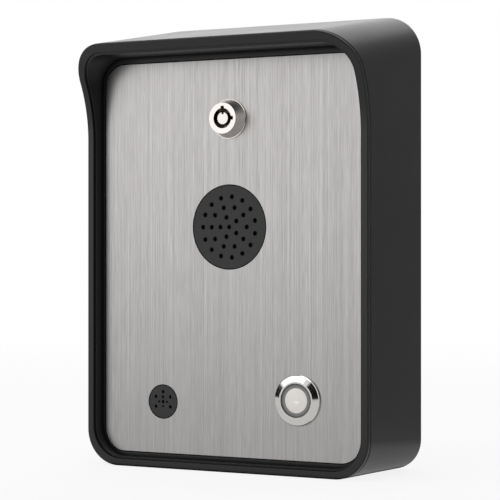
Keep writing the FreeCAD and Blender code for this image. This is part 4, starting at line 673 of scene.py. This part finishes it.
def settle(piece: bpy.types.Object, name: str, finish: Finish, body: str) -> bpy.types.Object:
    """Put a piece's place into its mesh, then name it, dress it and let it ride.

    Args:
        piece: The finished mesh object.
        name: Its name.
        finish: Its finish.
        body: The body that carries it.

    Returns:
        The same piece.
    """
    select_only(piece)
    bpy.ops.object.transform_apply(location=True, rotation=True, scale=True)
    piece.name = name
    piece.data.name = name
    piece.data.materials.clear()
    piece.data.materials.append(finish.material())
    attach(piece, body)
    LOG.info("%s: %d faces, on %s", name, len(piece.data.polygons), body)
    return piece


def skin(name: str, runs: list[list[list[Vector]]]) -> bpy.types.Object:
    """Skin closed outlines, one after the other, into solid bars.

    Args:
        name: The new object's name.
        runs: For each bar, its outlines from end to end, all with as many points.

    Returns:
        The bars, as one object.
    """
    build = bmesh.new()
    for outlines in runs:
        rows = [[build.verts.new(point) for point in outline] for outline in outlines]
        count = len(rows[0])
        for first, second in zip(rows, rows[1:]):
            for k in range(count):
                after = (k + 1) % count
                build.faces.new((first[k], first[after], second[after], second[k]))
        build.faces.new(rows[0])
        build.faces.new(rows[-1])
    bmesh.ops.recalc_face_normals(build, faces=build.faces)
    mesh = bpy.data.meshes.new(name)
    build.to_mesh(mesh)
    build.free()
    made = bpy.data.objects.new(name, mesh)
    bpy.context.scene.collection.objects.link(made)
    return made


@dataclass
class Casing:
    """The wall side: casing, bezel, seal, catch, pins and their screws."""

    plastic: Finish = Finishes.CASING
    bezel: Finish = Finishes.BEZEL

    def build(self) -> None:
        """Dress every node that stays on the wall."""
        dress_nodes(self.plastic, ("casing",))
        dress_nodes(self.bezel, ("front_bezel",))
        dress_nodes(Finishes.FOAM, ("panel_seal",))
        dress_nodes(Finishes.RUBBER, ("cable_grommet",))
        dress_nodes(Finishes.NATURAL_NYLON, ("pivot_bushes",))
        dress_nodes(Finishes.ZINC, ("latch_catch", "catch_screws", "upper_bezel_screws", "pivot_pins"))
        dress_nodes(Finishes.BLACK_STEEL, ("lower_bezel_screws",))


@dataclass
class Panel:
    """The steel faceplate with its brackets."""

    plate: Finish = Finishes.PLATE
    sheet: Finish = Finishes.SHEET

    def build(self) -> None:
        """Dress the plate and the brackets behind it."""
        dress_nodes(self.plate, ("faceplate",))
        dress_nodes(self.sheet, ("pivot_brackets",))


@dataclass
class SoundParts:
    """Speaker and microphone behind their grilles."""

    grille: Finish = Finishes.GRILLE

    def build(self) -> None:
        """Dress the grilles and what they hide."""
        dress_nodes(self.grille, ("speaker_grille", "microphone_grille"))
        dress_nodes(Finishes.CLOTH, ("dust_mesh",))
        dress_nodes(Finishes.FOAM, ("speaker_gasket",))
        dress_nodes(Finishes.SHEET, ("speaker_studs",))
        dress_nodes(Finishes.ZINC, ("speaker_nuts",))
        dress_nodes(Finishes.BLACK_STEEL, ("speaker_basket",))
        dress_nodes(Finishes.PAPER, ("speaker_cone",))
        dress_nodes(Finishes.FERRITE, ("speaker_magnet",))
        dress_nodes(Finishes.RUBBER, ("microphone_boot",))
        dress_nodes(Finishes.TIN, ("microphone_capsule",))


@dataclass
class PushButton:
    """The call button: polished rim, satin cap and frosted lamp ring over a return spring."""

    rim: Finish = Finishes.BUTTON_RIM
    cap: Finish = Finishes.BUTTON_CAP
    wire_radius_mm: float = 0.3
    turns: int = 4
    steps: int = 40
    sides: int = 10
    travel_mm: float = 2.05

    def return_spring(self) -> None:
        """Wind the return spring anew in place of the imported one, which it hides."""
        low, high = (Vector(corner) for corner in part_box("button_spring"))
        middle = (low + high) / 2
        wire = self.wire_radius_mm * MM
        radius = (high.x - low.x) / 2 - wire
        climb = high.y - low.y - 2 * wire
        count = self.turns * self.steps
        coil = []
        for step in range(count + 1):
            turn = math.tau * step / self.steps
            out = Vector((math.cos(turn), 0.0, math.sin(turn)))
            centre = Vector((middle.x, high.y - wire - climb * step / count, middle.z)) + out * radius
            around = [math.tau * k / self.sides for k in range(self.sides)]
            coil.append([centre + (out * math.cos(a) + Vector((0, math.sin(a), 0))) * wire for a in around])
        spring = skin("return_spring", [coil])
        select_only(spring)
        bpy.ops.object.shade_smooth()
        settle(spring, "return_spring", Finishes.SPRING, "panel")
        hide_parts("button_spring")
        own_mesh(spring)

    def build(self) -> None:
        """Dress the fixed and the moving parts of the button."""
        dress_nodes(self.rim, ("button_bezel",))
        dress_nodes(self.cap, ("button_cap",))
        dress_nodes(Finishes.LENS, ("light_ring",))
        dress_nodes(Finishes.RUBBER, ("button_gasket",))
        dress_nodes(Finishes.ZINC, ("button_nut",))
        dress_nodes(Finishes.DARK_PLASTIC, ("button_contact_block",))
        dress_nodes(Finishes.TINNED_BRASS, ("button_terminals",))
        dress_nodes(Finishes.SPRING, ("button_spring", "button_clip"))
        self.return_spring()


@dataclass
class KeyLock:
    """The tubular cam lock."""

    body: Finish = Finishes.LOCK
    plug: Finish = Finishes.LOCK_FACE

    def build(self) -> None:
        """Dress the lock's fixed and turning parts."""
        dress_nodes(self.body, ("lock_body",))
        dress_nodes(self.plug, ("lock_plug",))
        dress_nodes(Finishes.SPRING, ("lock_tumblers",))
        dress_nodes(Finishes.ZINC, ("lock_washer", "lock_nut", "lock_cam", "cam_nut"))


class Package(Enum):
    """Kinds of small part on the board: length, width and height in millimetres."""

    PROCESSOR = (10.0, 10.0, 1.4)
    DRIVER = (6.0, 4.0, 1.5)
    RESISTOR = (2.0, 1.25, 0.5)


@dataclass(frozen=True)
class ResistorRow:
    """A row of resistors on the board: its first place, its pitch and how its parts step down."""

    first_mm: tuple[float, float]
    pitch_mm: float
    count: int
    step_mm: float = 0.0
    steps: int = 1

    def places(self) -> list[tuple[float, float]]:
        """Work out the middle of each resistor, to the right and upwards, in millimetres."""
        x, z = self.first_mm
        return [(x + self.pitch_mm * i, z - self.step_mm * (i % self.steps)) for i in range(self.count)]


@dataclass
class Electronics:
    """The circuit board, what stands on it, and the small parts soldered to it."""

    board_rear_mm: float = -20.4
    chamfer_mm: float = 0.25
    chamfer_cuts: int = 2
    leg_pitch_mm: float = 1.27
    leg_mm: tuple[float, float, float] = (0.2, 0.36, 1.1)
    leg_shoulder: float = 0.55
    leg_bends: tuple[float, float] = (0.4, 0.6)
    least_legs: int = 4
    chips: tuple[tuple[Package, float, float], ...] = (
        (Package.PROCESSOR, -31.0, 22.0),
        (Package.DRIVER, 14.0, -12.0),
        (Package.DRIVER, -4.0, -22.0),
        (Package.DRIVER, 24.0, 26.0),
    )
    rows: tuple[ResistorRow, ...] = (
        ResistorRow((-20.0, -6.0), pitch_mm=4.2, count=8, step_mm=5.0, steps=3),
        ResistorRow((-44.0, 6.0), pitch_mm=4.0, count=5),
    )

    def small_part(self, kind: Package, x: float, z: float) -> bpy.types.Object:
        """Model one soldered part with broken edges, standing on the board's rear.

        Args:
            kind: Its package.
            x: Its middle to the right, in millimetres.
            z: Its middle upwards, in millimetres.

        Returns:
            The part.
        """
        length, width, height = (v * MM for v in kind.value)
        bpy.ops.object.select_all(action="DESELECT")
        place = Vector((x * MM, self.board_rear_mm * MM + height / 2, z * MM))
        bpy.ops.mesh.primitive_cube_add(size=1, location=place)
        part = bpy.context.active_object
        part.scale = (length, height, width)
        bpy.ops.object.transform_apply(location=True, rotation=True, scale=True)
        bpy.ops.object.mode_set(mode="EDIT")
        bpy.ops.mesh.select_all(action="SELECT")
        bpy.ops.mesh.bevel(offset=min(self.chamfer_mm * MM, height / 4), segments=self.chamfer_cuts)
        bpy.ops.object.mode_set(mode="OBJECT")
        return part

    def add_legs(self, part: bpy.types.Object, kind: Package) -> bpy.types.Object:
        """Give a chip its row of bent legs on both long sides.

        Args:
            part: The chip's case.
            kind: Its package.

        Returns:
            The legs, as one object.
        """
        length, _, height = (v * MM for v in kind.value)
        low = Vector(min(v.co[i] for v in part.data.vertices) for i in range(3))
        high = Vector(max(v.co[i] for v in part.data.vertices) for i in range(3))
        count = max(self.least_legs, int(length / (self.leg_pitch_mm * MM)))
        thick, wide, reach = (v * MM for v in self.leg_mm)
        board = self.board_rear_mm * MM
        corners = ((-1, -1), (1, -1), (1, 1), (-1, 1))
        shoulder, foot = height * self.leg_shoulder, thick / 2
        knee, ankle = self.leg_bends
        bends = ((0.0, shoulder), (knee, shoulder), (ankle, foot), (1.0, foot))
        runs = []
        for side, edge in ((-1, low.z), (1, high.z)):
            for index in range(count):
                x = low.x + (index + 0.5) * length / count
                runs.append(
                    [
                        [
                            Vector((x + a * wide / 2, board + up + b * thick / 2, edge + side * reach * out))
                            for a, b in corners
                        ]
                        for out, up in bends
                    ]
                )
        return skin("legs", runs)

    def build(self) -> None:
        """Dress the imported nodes, then add the soldered parts."""
        dress_nodes(Finishes.TINNED_BRASS, ("board_pillars",))
        dress_nodes(Finishes.BOARD, ("main_board",))
        dress_nodes(Finishes.ZINC, ("board_screws", "terminal_screws"))
        dress_nodes(Finishes.TIN, ("gsm_module", "sim_holder"))
        dress_nodes(Finishes.CARD, ("sim_card",))
        dress_nodes(Finishes.RELAY_BLUE, ("relay",))
        dress_nodes(Finishes.SLEEVE, ("capacitors",))
        dress_nodes(Finishes.TERMINAL_GREEN, ("terminal_blocks",))
        dress_nodes(Finishes.GOLD_BRASS, ("antenna_socket",))
        dress_nodes(Finishes.RUBBER, ("antenna",))
        for index, (kind, x, z) in enumerate(self.chips):
            part = self.small_part(kind, x, z)
            legs = self.add_legs(part, kind)
            settle(part, f"board_chip_{index}", Finishes.CHIP, "panel")
            settle(legs, f"board_chip_legs_{index}", Finishes.TIN, "panel")
        places = [place for row in self.rows for place in row.places()]
        for index, (x, z) in enumerate(places):
            part = self.small_part(Package.RESISTOR, x, z)
            settle(part, f"board_resistor_{index}", Finishes.CERAMIC, "panel")


@dataclass
class Studio:
    """A pale floor, soft lamps, felt cards and a white surround.

    The camera sees the surround as white, and the floor too, but for the object's shadow. In
    polished metal the floor has a brightness of its own, with a pool about the object's foot.
    """

    floor_level_mm: float = -100.0
    floor_size_mm: float = 8000.0
    floor_tones: tuple[str, str] = ("#f4f4f4", "#fafafa")
    floor_roughness: float = 0.9
    cloud_mm: float = 250.0
    white_mm: tuple[float, float] = (350.0, 1400.0)
    white_near: float = 0.86
    pool_mm: tuple[float, float] = (100.0, 160.0)
    pool_light: float = 0.8
    sweep_mm: tuple[float, float] = (-100.0, 50.0)
    sweep_light: tuple[float, float] = (0.8, 0.28)
    surround: float = 0.55

    def camera_share(self, tree: bpy.types.NodeTree) -> bpy.types.NodeSocket:
        """Say which rays see the white surround: the camera's, and those in gloss and glass.

        Args:
            tree: The node tree of the floor or the world.

        Returns:
            1 for those rays and 0 for the rest.
        """
        rays = add_node(tree, "LightPath", {}).outputs
        pair = {0: rays["Is Camera Ray"], 1: rays["Is Glossy Ray"]}
        seen = add_node(tree, "Math", pair, operation="MAXIMUM").outputs[0]
        both = {0: seen, 1: rays["Is Transmission Ray"]}
        return add_node(tree, "Math", both, operation="MAXIMUM").outputs[0]

    def mirrored_light(
        self, tree: bpy.types.NodeTree, place: bpy.types.NodeSocket, away: bpy.types.NodeSocket
    ) -> bpy.types.NodeSocket:
        """Say how bright the floor is in polished metal.

        Args:
            tree: The floor's node tree.
            place: The point on the floor.
            away: Its distance from the object's foot.

        Returns:
            The brightness: a pool about the foot, on a floor that darkens to the rear.
        """
        near, far = (v * MM for v in self.pool_mm)
        round_foot = {"Value": away, 1: near, 2: far, 3: self.pool_light, 4: 0.0}
        pool = add_node(tree, "MapRange", round_foot).outputs[0]
        depth = add_node(tree, "SeparateXYZ", {0: place}).outputs["Y"]
        front, rear = (v * MM for v in self.sweep_mm)
        bright, dim = self.sweep_light
        sweep = add_node(tree, "MapRange", {"Value": depth, 1: front, 2: rear, 3: bright, 4: dim}).outputs[0]
        return add_node(tree, "Math", {0: pool, 1: sweep}, operation="MAXIMUM").outputs[0]

    def floor_paint(self) -> bpy.types.Material:
        """Make the floor's matt paint, which glows white where the camera should see white.

        Returns:
            The paint.
        """
        material = bpy.data.materials.new("pale_floor")
        material.use_nodes = True
        tree = material.node_tree
        shader = next(n for n in tree.nodes if n.type == "BSDF_PRINCIPLED")
        output = next(n for n in tree.nodes if n.type == "OUTPUT_MATERIAL")
        place = add_node(tree, "TexCoord", {}).outputs["Object"]
        cloud = add_node(tree, "TexNoise", {"Vector": place, "Scale": 1 / (self.cloud_mm * MM)})
        first, second = (linear(tone) for tone in self.floor_tones)
        tone = add_node(tree, "Mix", {0: cloud.outputs["Fac"], 6: first, 7: second}, data_type="RGBA")
        tree.links.new(tone.outputs[2], shader.inputs["Base Color"])
        shader.inputs["Roughness"].default_value = self.floor_roughness
        away = add_node(tree, "VectorMath", {0: place}, operation="LENGTH").outputs["Value"]
        glossy = add_node(tree, "LightPath", {}).outputs["Is Glossy Ray"]
        mirrored = self.mirrored_light(tree, place, away)
        level = add_node(tree, "Mix", {0: glossy, 2: 1.0, 3: mirrored}, data_type="FLOAT").outputs[0]
        glow = add_node(tree, "Emission", {"Color": (1, 1, 1, 1), "Strength": level})
        near, far = (v * MM for v in self.white_mm)
        white = add_node(tree, "MapRange", {"Value": away, 1: near, 2: far, 3: self.white_near, 4: 1.0})
        cover = add_node(tree, "Mix", {0: glossy, 2: white.outputs[0], 3: 1.0}, data_type="FLOAT")
        pair = {0: self.camera_share(tree), 1: cover.outputs[0]}
        share = add_node(tree, "Math", pair, operation="MULTIPLY").outputs[0]
        mix = add_node(tree, "MixShader", {0: share, 1: shader.outputs[0], 2: glow.outputs[0]})
        tree.links.new(mix.outputs[0], output.inputs["Surface"])
        return material

    def floor(self) -> None:
        """Lay the floor, which keeps the object's shadow."""
        bpy.ops.object.select_all(action="DESELECT")
        place = (0, 0, self.floor_level_mm * MM)
        bpy.ops.mesh.primitive_plane_add(size=self.floor_size_mm * MM, location=place)
        floor = bpy.context.active_object
        floor.name = "floor"
        floor.data.materials.append(self.floor_paint())

    def world(self) -> None:
        """Surround the object with white that the lamps don't have to make."""
        world = bpy.data.worlds.new("surround")
        world.use_nodes = True
        tree = world.node_tree
        background = next(n for n in tree.nodes if n.type == "BACKGROUND")
        pair = {0: self.camera_share(tree), 2: self.surround, 3: 1.0}
        strength = add_node(tree, "Mix", pair, data_type="FLOAT")
        background.inputs["Color"].default_value = (1, 1, 1, 1)
        tree.links.new(strength.outputs[0], background.inputs["Strength"])
        bpy.context.scene.world = world

    def flag(
        self,
        name: str,
        place_mm: tuple[float, float, float],
        width_mm: float,
        height_mm: float,
        cloth: Finish = Finishes.FELT,
    ) -> None:
        """Stand a felt card beside the set, so that polished metal has something dark to show.

        Args:
            name: Which card it is.
            place_mm: Where its middle stands.
            width_mm: Its width.
            height_mm: Its height.
            cloth: What covers it.
        """
        bpy.ops.object.select_all(action="DESELECT")
        place = Vector(place_mm) * MM
        turn = (-place).to_track_quat("Z", "Y").to_euler()
        bpy.ops.mesh.primitive_plane_add(size=1, location=place, rotation=turn)
        card = bpy.context.active_object
        card.name = name
        card.scale = (width_mm * MM, height_mm * MM, 1.0)
        bpy.ops.object.transform_apply(location=True, rotation=True, scale=True)
        card.visible_camera = False
        card.data.materials.append(cloth.material())

    def lamp(self, name: str, place_mm: tuple[float, float, float], size_mm: float, watts: float) -> None:
        """Hang a soft square lamp that faces the object.

        Args:
            name: What the lamp is for.
            place_mm: Where it hangs.
            size_mm: Its side.
            watts: Its power.
        """
        data = bpy.data.lights.new(name, "AREA")
        data.size = size_mm * MM
        data.energy = watts
        made = bpy.data.objects.new(name, data)
        made.location = Vector(place_mm) * MM
        made.rotation_euler = (-made.location).to_track_quat("-Z", "Y").to_euler()
        bpy.context.scene.collection.objects.link(made)

    def build(self) -> None:
        """Set up floor, surround, lamps and cards."""
        self.floor()
        self.world()
        self.lamp("overhead", (0, -150, 900), size_mm=700, watts=3.0)
        self.lamp("front_left", (-620, -900, 180), size_mm=900, watts=2.4)
        self.lamp("rear_top", (-480, 1500, 680), size_mm=1500, watts=7.2)
        self.flag("flag_front", (750, -2070, 0), width_mm=1900, height_mm=2600)
        self.flag("flag_left", (-1770, -310, 0), width_mm=1500, height_mm=2800)
        self.flag("flag_right", (760, 60, 880), width_mm=900, height_mm=1500)
        self.flag("flag_rear", (1100, 1750, 700), width_mm=2400, height_mm=1600, cloth=Finishes.GREY_FELT)


@dataclass
class PhotoCamera:
    """The camera at the photograph's place, as fitted to the object's edges and grille circles."""

    place_mm: tuple[float, float, float] = (443.2, -793.2, -2.8)
    azimuth_deg: float = 30.12
    focal_px: float = 1982.4
    middle_px: tuple[float, float] = (248.3, 249.2)
    frame_px: float = 500.0
    sensor_mm: float = 36.0
    nearest_mm: float = 10.0

    def build(self) -> None:
        """Place the camera and make it the scene's own."""
        data = bpy.data.cameras.new("photo_camera")
        data.sensor_width = self.sensor_mm
        data.lens = self.focal_px / self.frame_px * self.sensor_mm
        data.shift_x = (self.frame_px / 2 - self.middle_px[0]) / self.frame_px
        data.shift_y = (self.middle_px[1] - self.frame_px / 2) / self.frame_px
        data.clip_start = self.nearest_mm * MM
        made = bpy.data.objects.new("photo_camera", data)
        made.location = Vector(self.place_mm) * MM
        made.rotation_euler = (math.pi / 2, 0.0, math.radians(self.azimuth_deg))
        bpy.context.scene.collection.objects.link(made)
        bpy.context.scene.camera = made


def main() -> None:
    """Dress the intercom piece by piece and set up the studio."""
    logging.basicConfig(level=logging.INFO, format="%(message)s")
    bpy.context.scene.view_settings.view_transform = "Standard"
    PhotoCamera().build()
    makers: tuple[Callable[[], None], ...] = (
        Casing().build,
        Panel().build,
        SoundParts().build,
        PushButton().build,
        KeyLock().build,
        Electronics().build,
        Studio().build,
    )
    for make in makers:
        make()


if __name__ == "__main__":
    main()
